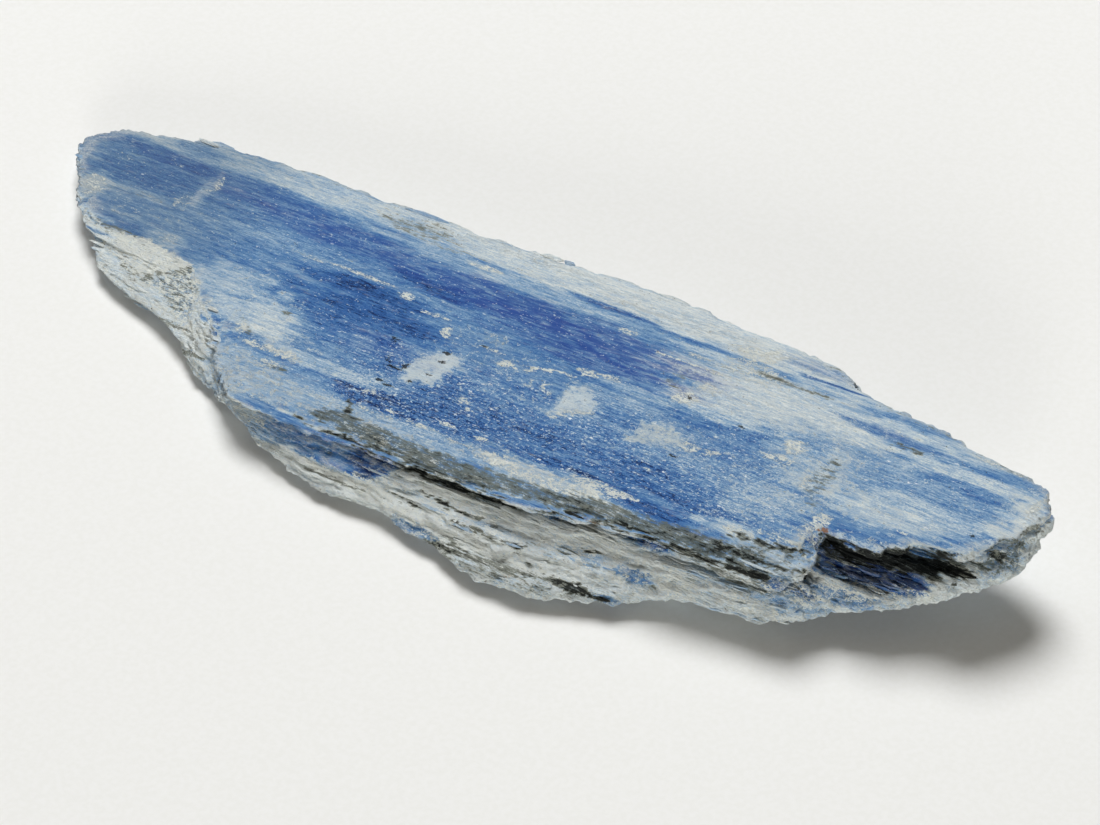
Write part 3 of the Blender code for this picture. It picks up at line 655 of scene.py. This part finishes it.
# Lines: where they lie, what they change, what it becomes, the half width in mm, and the course.
LINES = [
    ("top", "cream", 0.9, 0.14, [
        (-1.2, -0.4), (-0.4, 0.2), (1, -0.2), (2, 0.6), (3.8, 1.2), (5.4, 1.5), (6, 2.4),
    ]),
    ("top", "cream", 0.9, 0.16, [(4.8, -4.1), (6, -3.9), (7, -2.6), (8.9, -1.9)]),
    ("top", "cream", 0.85, 0.12, [(27.4, 0.4), (27.5, -0.6), (28, -1.4)]),
    ("top", "dirt_and_shade", 0.5, 0.14, [(18, 9.3), (22, 9.2), (25, 9.4)]),
    ("top", "dirt_and_shade", 0.36, 0.5, [(28.6, 3), (28.9, 1), (28.7, -1), (29.4, -3)]),
    ("top", "dirt_and_shade", 0.8, 0.1, [(31.5, 7.1), (34, 7)]),
    # Along the plate's front wall: painted shade.
    ("all", "dirt_and_shade", 0.62, 0.5, [(10, -12.2), (16, -11.2), (22, -10.9), (28, -10.4)]),
    ("all", "dirt_and_shade", 0.32, 0.35, FAR_RIM),
    ("all", "dirt_and_shade", 0.95, 0.24, [(25, -9.3), (27.5, -8.8), (30, -8.5), (31.6, -7.8)]),
    ("all", "dirt_and_shade", 0.95, 0.2, [(25, -10.6), (28, -10.8), (31, -10.6), (32.3, -9.9)]),
    ("all", "cream", 0.6, 0.14, [(31.5, -8.2), (32.25, -8.9), (32.2, -9.6), (31.5, -10.2)]),
    ("top", "frost", 0.7, 0.45, [
        (33, -4.8), (36.3, -4.8), (37.2, -4), (41.4, -2.2), (43.4, -0.6), (45.2, 1.6),
    ]),
    ("all", "dirt_and_shade", 0.95, 0.16, [(-9.6, -10.4), (-9.3, -11), (-9, -11.6)]),
    # The crease of the broken face at the left: a soft line of painted shade.
    ("all", "dirt_and_shade", 0.5, 0.34, [
        (-29.9, -2.8), (-31, -3.8), (-32.2, -4.8), (-32.8, -5.7), (-34.4, -5.6), (-35.2, -5.2),
    ]),
    ("all", "dirt_and_shade", 0.55, 0.2, [(-41.6, -1), (-39, -1.5), (-36, -1.3)]),
    ("all", "dirt_and_shade", 0.55, 0.2, [(-23, -6), (-21.8, -6.6), (-21.4, -7.4)]),
    # The cleft under the plate: a dark line of painted shade.
    ("front", "dirt_and_shade", 1, 0.34, [
        (-12, -14.1), (-8.5, -14.4), (-4, -14.6), (-1.2, -15.2), (0, -15), (6, -15.1), (8, -14.2),
        (12, -13.6), (17, -12.5), (22, -12.5), (30, -12.4),
    ]),
    ("front", "dirt_and_shade", 0.85, 0.1, [(13.8, -17.4), (17, -16.2), (17, -17.6)]),
    ("front", "cream", 0.9, 0.22, [(-9, -18.3), (-6, -18.8), (-2, -19.6)]),
    ("front", "cream", 0.85, 0.4, [(0, -19.6), (4, -20.2), (8, -20.4)]),
    ("front", "dirt_and_shade", 0.62, 0.3, [(6, -21.3), (9, -21.6), (12, -21.5)]),
    ("front", "dirt_and_shade", 0.6, 0.2, [(13, -13.3), (15.5, -13.3)]),
    ("front", "dirt_and_shade", 0.8, 0.08, [(1, -17), (4, -17.4), (7, -17.2)]),
    ("front", "dirt_and_shade", 0.8, 0.08, [(5, -18.6), (9, -18.9), (12, -18.6)]),
]
# Raised and sunken patches of the upper face, in mm.
RELIEF = [
    (-21.5, -9.6, 5, 2, -0.3), (-12, -11.2, 7, 1.2, -0.22), (-5.8, -3.2, 1.9, 2, 0.07),
    (7, -1.4, 1.9, 2, 0.1), (15, -1.3, 2.3, 1.3, 0.1), (13.4, -9.6, 2.5, 0.9, 0.18),
    (4.8, -10.6, 2.4, 0.8, 0.12), (-34.6, 7, 0.5, 2.6, 0.12), (22, 7, 10, 3, -0.1),
    (-3, 9.3, 16, 0.9, -0.12), (4, 11.6, 24, 1, -0.22), (28.6, 0.4, 1, 2.6, -0.15),
    (13, 7.5, 4, 0.2, 0.1), (-16.4, 3.8, 4, 0.25, 0.06),
]


def painted(values, u, v, marks, fray, soft=0.35):
    """The values with marks painted over them; fray is noise that breaks up their edges."""
    values = values.copy()
    for at_u, at_v, half_length, half_width, target in marks:
        near = (abs(u - at_u) < half_length * 1.6) & (abs(v - at_v) < half_width * 1.9)
        near = np.flatnonzero(near)
        apart = np.hypot((u[near] - at_u) / half_length, (v[near] - at_v) / half_width)
        weight = ramp(apart + fray[near], 1.0 + soft, 1.0 - soft)
        values[near] += (target - values[near]) * weight
    return values


def inside(u, v, outline):
    """How far inside a closed outline each point is, in mm. Points outside it are negative."""
    apart, _ = beside(u, v, outline + outline[:1])
    odd = np.zeros(len(u), bool)
    for (u0, v0), (u1, v1) in zip(outline, outline[1:] + outline[:1]):
        if v0 != v1:
            odd ^= ((v0 > v) != (v1 > v)) & (u < u0 + (v - v0) * (u1 - u0) / (v1 - v0))
    return np.where(odd, apart, -apart)


def patch_over(layers, where, u, v, fray):
    """Paints the patches and lines of one part of the stone over its layers of values."""
    rows = []
    for place, outline, changes in PATCHES:
        if place in (where, "all"):
            rows.append((changes, inside(u, v, outline)))
    for place, layer, target, half, course in LINES:
        if place in (where, "all"):
            rows.append(({layer: (target, half)}, half - beside(u, v, course)[0]))
    for changes, depth in rows:
        for layer, (target, soft) in changes.items():
            weight = ramp(depth + fray, -soft, soft)
            layers[layer] = layers[layer] + (target - layers[layer]) * weight


def is_upper(co, up):
    """1 on the upper face, 0 on the sides and the steps."""
    return ramp(up[:, 2], 0.5, 0.8) * ramp(co[:, 2], 8.6, 9.4)


def is_underside(co, up):
    """1 on the faces that the stone lies on and beside them, 0 on the roofs of cleft and gap."""
    return ramp(up[:, 2], -0.72, -0.86) * ramp(co[:, 2], 7.4, 6.4)


def raise_grain(mesh):
    """Eases the pile and the lip, rolls the worn edges, and then raises fibres, ledges and pits.

    Only the fibres, ledges and pits are held to half a millimetre, measured on the level stack.
    """
    edges = edges_of(mesh)
    co = smoothed(positions(mesh), edges, 5)
    ease_pile(co, edges, normals(mesh))
    ease_lip(co, edges)
    roll_edges(co)
    put(mesh, co)
    up = normals(mesh)
    u, v = plan_of(co)
    top = is_upper(co, up)
    side = 1 - ramp(np.abs(up[:, 2]), 0.6, 0.9)
    calm = ramp(u, -24.0, -27.0) * ramp(co[:, 1], 2.0, 0.0)
    rough = np.maximum(side, 1 - top) * (1 - 0.7 * calm)
    fray = grain(co, 0.5, 3.0, 31) * 0.35
    relief = painted(np.zeros(len(co)), u, v, RELIEF, fray, 0.25) * top
    sway = [perlin(co / (6, 2, 2), seed) for seed in (33, 34)]
    bent = co + np.stack([0 * u, *sway], axis=1) * 0.35
    ledges = stepped(grain(bent, 1.1, 8.0, 3), 3, 6) * (0.08 + 0.30 * rough)
    flakes = stepped(grain(bent, 2.4, 6.0, 4), 2, 8) * (0.10 + 0.08 * rough)
    scales = stepped(perlin(bent / (1.6, 0.7, 0.7), 36), 3, 8) * (0.02 + 0.24 * rough)
    ribs = 1 - np.abs(grain(bent, 0.62, 4.5, 5)) * 2
    fibres = grain(bent, 0.36, 3.0, 35)
    fine = grain(co, 0.24, 1.5, 6)
    grit = perlin(co / (0.5, 0.3, 0.3), 9) * (0.016 + 0.11 * rough)
    swell = grain(co, 5.0, 14.0, 7) * 0.10
    chips = -ramp(perlin(co / (2.4, 0.42, 0.42), 8), 0.30, 0.6) * (0.04 + 0.26 * rough)
    move = relief + ledges + flakes + scales + grit + swell + chips
    move += ribs * (0.012 + 0.075 * rough) + fibres * (0.022 + 0.07 * rough)
    move += fine * (0.018 + 0.06 * rough)
    co += up * np.clip(move, -0.5, 0.3)[:, None]
    base = (up[:, 2] < -0.9) & (co[:, 2] < 0.5)
    co[:, 2] = np.where(base, 0.0, np.maximum(co[:, 2], 0.0))
    put(mesh, co)


def brush_on(mesh, name, values):
    layer = mesh.attributes.new(name, "FLOAT", "POINT")
    layer.data.foreach_set("value", np.clip(values, 0, 1).astype(np.float32))


def stone_colours(co, up, tint):
    """Tone, cream, dirt and painted shade, frost, indigo, specks, haze, rust, painted glints at
    each point.

    The upper face and the front have marks, and the back and underside have plain grain. tint is
    each splinter's own shift of tone.
    """
    u, v = plan = plan_of(co)
    top = is_upper(co, up)
    shown = 1 - is_underside(co, up)
    front = ramp(co[:, 1] - 8.0 * ramp(co[:, 0], 38.0, 45.0), 1.0, -1.0) * shown
    u = u + perlin(co / (3.0, 1.2, 1.2), 21) * 0.5
    v = v + grain(co, 1.2, 5.0, 22) * 0.22
    fray = grain(co, 0.35, 3.2, 23) * 0.4 + grain(co, 0.9, 4.0, 24) * 0.3
    crisp = perlin(co / (0.5, 0.3, 0.3), 25) * 0.35
    layers = grain(co, 0.8, 9.0, 26)
    wide = grain(co, 2.0, 16.0, 27)
    none = np.zeros(len(u))
    far = ramp(v, 9.6, 10.8)
    upper = {
        "tone": painted(0.60 - 0.36 * far + 0.05 * wide, u, v, TONE, fray),
        "cream": painted(none, u, v, CREAM, crisp + 0.3 * fray, 0.3),
        "dirt_and_shade": painted(none, u, v, DIRT_AND_SHADE, crisp + fray, 0.4),
        "frost": painted(none, u, v, FROSTED, fray, 0.5),
    }
    side = {
        "tone": painted(0.06 + 0.14 * layers, u, v, FRONT_TONE, fray),
        "cream": painted(0.42 + 0.30 * layers, u, v, FRONT_CREAM, crisp, 0.3),
        "dirt_and_shade": painted(0.06 + 0.16 * wide, u, v, FRONT_DIRT_AND_SHADE, crisp, 0.3),
        "frost": none + 0.25,
    }
    patch_over(upper, "top", *plan, crisp * 1.3 + fray * 0.5)
    patch_over(side, "front", *plan, crisp * 1.3 + fray * 0.5)
    back = {
        "tone": 0.24 + 0.20 * layers + 0.12 * wide,
        "cream": 0.24 + 0.3 * layers,
        "dirt_and_shade": none,
        "frost": none + 0.2,
    }
    colours = {}
    for name in upper:
        low = side[name] * front + back[name] * (1 - front)
        colours[name] = low + (upper[name] - low) * top
    colours["tone"] += 0.16 * tint
    colours["cream"] -= 0.2 * tint
    gap = ramp(np.abs(u - 36.5), 5.0, 3.0) * ramp(np.abs(v + 6.6), 2.4, 1.2)
    gap *= (1 - top) * shown
    colours["indigo"] = painted(none, u, v, INDIGO, fray, 0.5) * top + 0.5 * gap
    marks = [(*speck, 1.0) for speck in SPECKS]
    colours["specks"] = painted(none, u, v, marks, crisp * 1.2, 0.7) * top
    colours["haze"] = ramp(u, -24.0, -36.0) * 0.34 * top
    colours["rust"] = painted(none, u, v, RUSTY, crisp, 0.4) * shown
    # How many grains get painted glints, which are painted highlights.
    colours["painted_glint"] = 0.03 + (painted(none + 0.02, u, v, PAINTED_GLINT_MARKS, fray, 0.6) - 0.03) * top
    return colours


def colour_body(mesh):
    co = positions(mesh)
    colours = stone_colours(co, normals(mesh), 0.0)
    top = is_upper(co, normals(mesh))
    fine_hollow = hollowness(mesh, 3)
    wide_hollow = hollowness(mesh, 30)
    # Painted shade: the hollows are darkened towards olive and black-green.
    colours["dirt_and_shade"] += ramp(wide_hollow, 0.10, 0.50) * (1 - 0.5 * top) * 0.4
    colours["dirt_and_shade"] += ramp(fine_hollow, 0.01, 0.04) * 0.16
    colours["edge"] = ramp(-wide_hollow, 0.05, 0.25) + ramp(-fine_hollow, 0.01, 0.03) * 0.4
    for name, values in colours.items():
        brush_on(mesh, name, values)


def colour_splinters(mesh, places, counts, outs, rng):
    """Each splinter takes the colour of the place it lies on, and a tint of its own."""
    middles = np.array([matrix.translation for _, matrix in places])
    tints = np.array([rng.uniform(-1, 1) for _ in places])
    colours = stone_colours(middles, np.array(outs), tints)
    colours["edge"] = np.array([rng.uniform(0.0, 0.5) for _ in places])
    for name, values in colours.items():
        brush_on(mesh, name, np.repeat(values, counts))


# ---------------------------------------------------------------- materials


class Nodes:
    """Short calls for building one material's or group's node tree."""

    def __init__(self, tree):
        self.tree = tree

    def add(self, kind, **settings):
        node = self.tree.nodes.new(kind)
        for key, value in settings.items():
            setattr(node, key, value)
        return node

    def feed(self, socket, value):
        """Links a socket, or sets a constant, on an input."""
        if isinstance(value, bpy.types.NodeSocket):
            self.tree.links.new(value, socket)
        else:
            socket.default_value = value

    def maths(self, operation, a, b=0.0, clamp=False):
        node = self.add("ShaderNodeMath", operation=operation, use_clamp=clamp)
        self.feed(node.inputs[0], a)
        self.feed(node.inputs[1], b)
        return node.outputs[0]

    def span(self, value, low, high, to_low=0.0, to_high=1.0):
        node = self.add("ShaderNodeMapRange", interpolation_type="SMOOTHSTEP")
        self.feed(node.inputs["Value"], value)
        limits = {"From Min": low, "From Max": high, "To Min": to_low, "To Max": to_high}
        for name, number in limits.items():
            node.inputs[name].default_value = number
        return node.outputs["Result"]

    def blend(self, factor, a, b, mode="MIX"):
        node = self.add("ShaderNodeMix", data_type="RGBA", blend_type=mode)
        self.feed(node.inputs["Factor"], factor)
        colours = [socket for socket in node.inputs if socket.type == "RGBA"]
        self.feed(colours[0], a)
        self.feed(colours[1], b)
        return next(socket for socket in node.outputs if socket.type == "RGBA")

    def mixed(self, *parts):
        """The sum of values, each times its own share."""
        total = 0.0
        for value, share in parts:
            total = self.maths("ADD", self.maths("MULTIPLY", value, share), total)
        return total

    def attribute(self, name):
        return self.add("ShaderNodeAttribute", attribute_name=name).outputs["Fac"]

    def streaks(self, across, along, detail=2.0, seed=0.0, rough=0.55):
        """The streaks group, with marks across and along the grain of these sizes in mm."""
        node = self.add("ShaderNodeGroup", node_tree=streaks_group())
        node.inputs["Shift"].default_value = (seed, seed * 1.7, seed * 0.6)
        cells = (1 / (along * MM), 1 / (across * MM), 1 / (across * MM))
        node.inputs["Cells"].default_value = cells
        node.inputs["Detail"].default_value = detail
        node.inputs["Roughness"].default_value = rough
        return node.outputs["Streaks"]

    def painted_glints(self):
        """Painted highlights: scattered bright grains, as many as the glint attribute says."""
        where = self.add("ShaderNodeTexCoord").outputs["Object"]
        noise = self.add("ShaderNodeTexNoise")
        self.feed(noise.inputs["Vector"], where)
        noise.inputs["Scale"].default_value = 1 / (0.12 * MM)
        noise.inputs["Detail"].default_value = 3.0
        bent = self.add("ShaderNodeVectorMath", operation="MULTIPLY_ADD")
        self.feed(bent.inputs[0], noise.outputs["Color"])
        bent.inputs[1].default_value = (0.5 * MM, 0.3 * MM, 0.3 * MM)
        self.feed(bent.inputs[2], where)
        stretch = self.add("ShaderNodeMapping")
        self.feed(stretch.inputs["Vector"], bent.outputs["Vector"])
        stretch.inputs["Scale"].default_value = (1 / (0.55 * MM), 1 / (0.26 * MM), 1 / (0.26 * MM))
        grains = self.add("ShaderNodeTexVoronoi")
        self.feed(grains.inputs["Vector"], stretch.outputs["Vector"])
        grains.inputs["Scale"].default_value = 1.0
        pick = self.mixed((grains.outputs["Color"], 1.0), (self.attribute("painted_glint"), 0.8))
        few = self.span(pick, 0.93, 1.02)
        spot = self.span(grains.outputs["Distance"], 0.16, 0.46, 1.0, 0.0)
        return self.maths("MULTIPLY", few, spot)


def streaks_group():
    """The node group, built once: noise in object space drawn out along X, from about -1 to 1."""
    built = bpy.data.node_groups.get("streaks")
    if built:
        return built
    group = bpy.data.node_groups.new("streaks", "ShaderNodeTree")
    inputs = (("Shift", "Vector"), ("Cells", "Vector"), ("Detail", "Float"), ("Roughness", "Float"))
    for name, kind in inputs:
        group.interface.new_socket(name=name, in_out="INPUT", socket_type="NodeSocket" + kind)
    group.interface.new_socket(name="Streaks", in_out="OUTPUT", socket_type="NodeSocketFloat")
    n = Nodes(group)
    given = n.add("NodeGroupInput").outputs
    stretch = n.add("ShaderNodeMapping")
    n.feed(stretch.inputs["Vector"], n.add("ShaderNodeTexCoord").outputs["Object"])
    n.feed(stretch.inputs["Location"], given["Shift"])
    n.feed(stretch.inputs["Scale"], given["Cells"])
    noise = n.add("ShaderNodeTexNoise")
    n.feed(noise.inputs["Vector"], stretch.outputs["Vector"])
    noise.inputs["Scale"].default_value = 1.0
    n.feed(noise.inputs["Detail"], given["Detail"])
    n.feed(noise.inputs["Roughness"], given["Roughness"])
    value = n.span(noise.outputs["Fac"], 0.2, 0.8, -1.0, 1.0)
    n.feed(n.add("NodeGroupOutput").inputs["Streaks"], value)
    return group


def linear(red, green, blue):
    """A colour given as 0 to 255 screen values, as the linear colour that nodes take."""
    parts = [c / 255 for c in (red, green, blue)]
    return tuple(((c + 0.055) / 1.055) ** 2.4 if c > 0.04045 else c / 12.92 for c in parts) + (1.0,)


TONES = (
    (0.0, linear(230, 237, 236)),
    (0.2, linear(190, 209, 223)),
    (0.4, linear(138, 173, 207)),
    (0.6, linear(86, 134, 186)),
    (0.8, linear(48, 100, 170)),
    (1.0, linear(12, 38, 86)),
)
CREAM_WHITE = linear(238, 242, 235)
PAINTED_GLINT_WHITE = linear(248, 252, 255)
FROST = linear(216, 225, 228)
INDIGO_BLUE = linear(48, 82, 160)
HAZE_GREY = linear(92, 106, 118)
OLIVE = linear(98, 101, 82)
RUST = linear(146, 88, 22)
PALE_EDGE = linear(206, 212, 212)
BLACK_GREEN = linear(20, 24, 24)
PAPER = (linear(236, 236, 233), linear(239, 239, 237))


def tone_colours(n, tone):
    node = n.add("ShaderNodeValToRGB")
    stops = node.color_ramp.elements
    stops[0].position, stops[0].color = TONES[0]
    stops[1].position, stops[1].color = TONES[-1]
    for place, colour in TONES[1:-1]:
        stops.new(place).color = colour
    n.feed(node.inputs["Fac"], tone)
    return node.outputs["Color"]


def kyanite_material():
    material = bpy.data.materials.new("kyanite_blue")
    material.use_nodes = True
    n = Nodes(material.node_tree)
    shader = material.node_tree.nodes["Principled BSDF"]
    broad = n.streaks(1.0, 8.0, 2.0, 1.0)
    medium = n.streaks(0.30, 2.6, 3.0, 5.0)
    fine = n.streaks(0.10, 1.1, 3.0, 9.0, 0.65)
    crumb = n.streaks(0.45, 0.65, 6.0, 17.0, 0.72)
    grit = n.streaks(0.13, 0.2, 4.0, 13.0, 0.7)

    sharp = n.maths("MULTIPLY", fine, n.mixed((n.attribute("painted_glint"), 0.9), (1.0, 0.15)))
    crumbly = n.maths("MULTIPLY", n.attribute("painted_glint"), n.mixed((grit, 1.1), (crumb, 0.9)))
    mottle = n.mixed((broad, 0.08), (medium, 0.13), (sharp, 1.0), (grit, 0.08), (crumbly, 1.3))
    tone = n.maths("ADD", n.attribute("tone"), mottle, clamp=True)
    frost = n.mixed((n.attribute("frost"), 0.9), (crumb, 0.55), (grit, 0.35), (fine, 0.2))
    frost = n.span(frost, 0.42, 0.66, 0.0, 0.76)
    torn = n.mixed((crumb, 1.3), (grit, 1.2), (fine, 0.5), (medium, 0.25))
    cream = n.maths("MULTIPLY", n.attribute("cream"), n.maths("ADD", torn, 0.9))
    cream = n.span(cream, 0.34, 0.80)
    # White flecks: more painted glints, where the glint attribute is high.
    small = n.streaks(0.2, 0.34, 4.0, 37.0, 0.7)
    glint_flecks = n.mixed((small, 1.0), (crumb, 0.3), (n.attribute("painted_glint"), 2.2))
    glint_flecks = n.span(glint_flecks, 0.66, 0.86, 0.0, 0.95)
    painted_glint = n.painted_glints()
    # Frost, cream and the painted glints and flecks lighten the tone towards white.
    pale = n.maths("MAXIMUM", n.maths("MAXIMUM", frost, cream), n.maths("MAXIMUM", painted_glint, glint_flecks))
    deep = n.maths("SUBTRACT", 1.0, n.maths("MULTIPLY", pale, 0.86))
    colour = tone_colours(n, n.maths("MULTIPLY", tone, deep))
    indigo = n.maths("MULTIPLY", n.attribute("indigo"), n.span(medium, -0.6, 0.5, 0.35, 1.0))
    colour = n.blend(n.maths("MULTIPLY", indigo, deep), colour, INDIGO_BLUE)
    colour = n.blend(n.attribute("haze"), colour, HAZE_GREY)
    colour = n.blend(n.maths("MULTIPLY", frost, 0.35), colour, FROST)
    whitest = n.maths("MULTIPLY", n.maths("MULTIPLY", cream, cream), 0.85)
    colour = n.blend(whitest, colour, CREAM_WHITE)
    edge = n.maths("MULTIPLY", n.attribute("edge"), n.span(grit, -0.5, 0.5, 0.2, 0.8))
    colour = n.blend(edge, colour, PALE_EDGE)
    # Dirt and painted shade: olive, then black-green where the value is high.
    breaks = n.mixed((fine, -0.25), (crumb, -0.25), (grit, -0.1), (medium, -0.2))
    dirt_and_shade = n.maths("ADD", n.attribute("dirt_and_shade"), breaks)
    colour = n.blend(n.span(dirt_and_shade, 0.28, 0.6, 0.0, 0.8), colour, OLIVE)
    colour = n.blend(n.span(dirt_and_shade, 0.66, 0.95, 0.0, 0.95), colour, BLACK_GREEN)
    specks = n.mixed((n.attribute("specks"), 1.0), (grit, 0.5), (crumb, 0.5))
    colour = n.blend(n.span(specks, 0.5, 0.6, 0.0, 0.9), colour, BLACK_GREEN)
    rust = n.mixed((n.attribute("rust"), 1.0), (grit, 0.3), (crumb, 0.2))
    colour = n.blend(n.span(rust, 0.3, 0.8, 0.0, 0.85), colour, RUST)
    # Painted highlights: the glints blended towards white.
    colour = n.blend(n.maths("MULTIPLY", painted_glint, 0.9), colour, PAINTED_GLINT_WHITE)
    n.feed(shader.inputs["Base Color"], colour)
    n.feed(shader.inputs["Roughness"], n.span(medium, -0.6, 0.6, 0.46, 0.66))

    relief = n.mixed((medium, 0.25), (fine, 0.4), (grit, 0.25), (crumb, 0.25))
    relief = n.mixed((relief, 1.0), (cream, 0.3), (frost, 0.15))
    bump = n.add("ShaderNodeBump")
    n.feed(bump.inputs["Height"], relief)
    bump.inputs["Distance"].default_value = 0.10 * MM
    bump.inputs["Strength"].default_value = 0.9
    n.feed(shader.inputs["Normal"], bump.outputs["Normal"])
    shader.inputs["IOR"].default_value = 1.55
    shader.inputs["Specular IOR Level"].default_value = 0.16
    return material


def floor_material():
    material = bpy.data.materials.new("pale_paper")
    material.use_nodes = True
    n = Nodes(material.node_tree)
    shader = material.node_tree.nodes["Principled BSDF"]
    tooth = n.streaks(0.5, 0.5, 3.0, 3.0)
    n.feed(shader.inputs["Base Color"], n.blend(n.span(tooth, -1, 1), *PAPER))
    shader.inputs["Roughness"].default_value = 0.85
    shader.inputs["Specular IOR Level"].default_value = 0.2
    return material


# ---------------------------------------------------------------- pieces


def new_piece(name, mesh, material):
    """An object at the origin from a mesh of the level stack, riding on the stone."""
    put(mesh, settled(positions(mesh)) * MM)
    mesh.materials.clear()
    mesh.materials.append(material)
    mesh.name = name
    piece = bpy.data.objects.new(name, mesh)
    bpy.context.scene.collection.objects.link(piece)
    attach(piece, "root")
    return piece


def parted(mesh, upper):
    """The part of a mesh above or below the parting between the upper and lower blades."""
    bm = bmesh.new()
    bm.from_mesh(mesh)
    for face in bm.faces:
        face.smooth = True
    bmesh.ops.bisect_plane(
        bm,
        geom=bm.verts[:] + bm.edges[:] + bm.faces[:],
        plane_co=(0, 0, PARTING),
        plane_no=(0, 0, 1),
        clear_inner=upper,
        clear_outer=not upper,
    )
    rim = [e for e in bm.edges if e.is_boundary]
    outwards = (0, 0, -1 if upper else 1)
    filled = bmesh.ops.triangle_fill(bm, edges=rim, use_beauty=False, normal=outwards)
    for item in filled["geom"]:
        if isinstance(item, bmesh.types.BMFace):
            item.smooth = False
    for edge in rim:
        edge.smooth = False
    half = bpy.data.meshes.new("half")
    bm.to_mesh(half)
    bm.free()
    return half


def mesh_of(bm):
    """The bmesh as a mesh; the bmesh is freed."""
    mesh = bpy.data.meshes.new("loose")
    bm.to_mesh(mesh)
    bm.free()
    return mesh


def make_body(material):
    rng = random.Random(7)
    bm = level_solid()
    found = side_laths(
        bm,
        rng,
        count=900,
        lengths=(3.0, 11.0),
        widths=(0.7, 1.7),
        thicks=(0.3, 0.6),
        prouds=(-0.15, 0.2),
        most=0.3,
    )
    laths = gathered(lath_templates(3, LATH_KINDS), [place for place, _ in found])
    bm.from_mesh(mesh_of(laths))
    mesh = remeshed(bm)
    raise_grain(mesh)
    colour_body(mesh)
    for name, upper in (("upper_blades", True), ("lower_blades", False)):
        piece = new_piece(name, parted(mesh, upper), material)
        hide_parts(NODE)


def make_splinters(material):
    rng = random.Random(19)
    templates = lath_templates(5, LATH_KINDS)
    bm = level_solid()
    found = side_laths(
        bm,
        rng,
        count=5200,
        lengths=(1.2, 6.5),
        widths=(0.3, 1.0),
        thicks=(0.08, 0.26),
        prouds=(-0.2, 0.12),
        most=0.22,
    )
    found = list(found)
    bm.free()
    places = [place for place, _ in found]
    mesh = mesh_of(gathered(templates, places))
    counts = [len(templates[number].vertices) for number, _ in places]
    colour_splinters(mesh, places, counts, [out for _, out in found], rng)
    new_piece("splinters", mesh, material)


# ---------------------------------------------------------------- stage


def make_floor():
    mesh = bpy.data.meshes.new("floor")
    bm = bmesh.new()
    bmesh.ops.create_grid(bm, x_segments=1, y_segments=1, size=1.5)
    bm.to_mesh(mesh)
    bm.free()
    mesh.materials.append(floor_material())
    floor = bpy.data.objects.new("floor", mesh)
    bpy.context.scene.collection.objects.link(floor)


def make_camera():
    azimuth = math.radians(VIEW_AZIMUTH)
    elevation = math.radians(VIEW_ELEVATION)
    level = math.cos(elevation)
    back = Vector((math.sin(azimuth) * level, -math.cos(azimuth) * level, math.sin(elevation)))
    right = Vector((math.cos(azimuth), math.sin(azimuth), 0))
    lens = bpy.data.cameras.new("camera")
    lens.lens = VIEW_LENS
    lens.sensor_width = 36.0
    camera = bpy.data.objects.new("camera", lens)
    turn = Matrix((right, back.cross(right), back)).transposed().to_4x4()
    camera.matrix_world = Matrix.Translation((VIEW_AIM + back * VIEW_DISTANCE) * MM) @ turn
    bpy.context.scene.collection.objects.link(camera)
    bpy.context.scene.camera = camera


def add_lamp(name, azimuth, elevation, size, share, colour):
    """A round lamp, with its share of the light that falls on the floor under it."""
    az, el = math.radians(azimuth), math.radians(elevation)
    away = Vector((math.cos(az) * math.cos(el), math.sin(az) * math.cos(el), math.sin(el)))
    light = bpy.data.lights.new(name, "AREA")
    light.shape = "DISK"
    light.size = size
    light.energy = share * LIGHT / math.sin(el)
    light.color = colour
    lamp = bpy.data.objects.new(name, light)
    lamp.location = away * LAMP_DISTANCE
    lamp.rotation_euler = away.to_track_quat("Z", "Y").to_euler()
    bpy.context.scene.collection.objects.link(lamp)


def make_light():
    """A window behind the stone, light from the ceiling, a low card in front and a warm room."""
    world = bpy.data.worlds.new("studio")
    bpy.context.scene.world = world
    world.use_nodes = True
    back = world.node_tree.nodes["Background"]
    back.inputs["Color"].default_value = ROOM_COLOUR
    back.inputs["Strength"].default_value = ROOM_STRENGTH
    for name, settings in LAMPS.items():
        add_lamp(name, *settings)
    bpy.context.scene.view_settings.view_transform = "Standard"


make_camera()
kyanite = kyanite_material()
make_body(kyanite)
make_splinters(kyanite)
make_floor()
make_light()
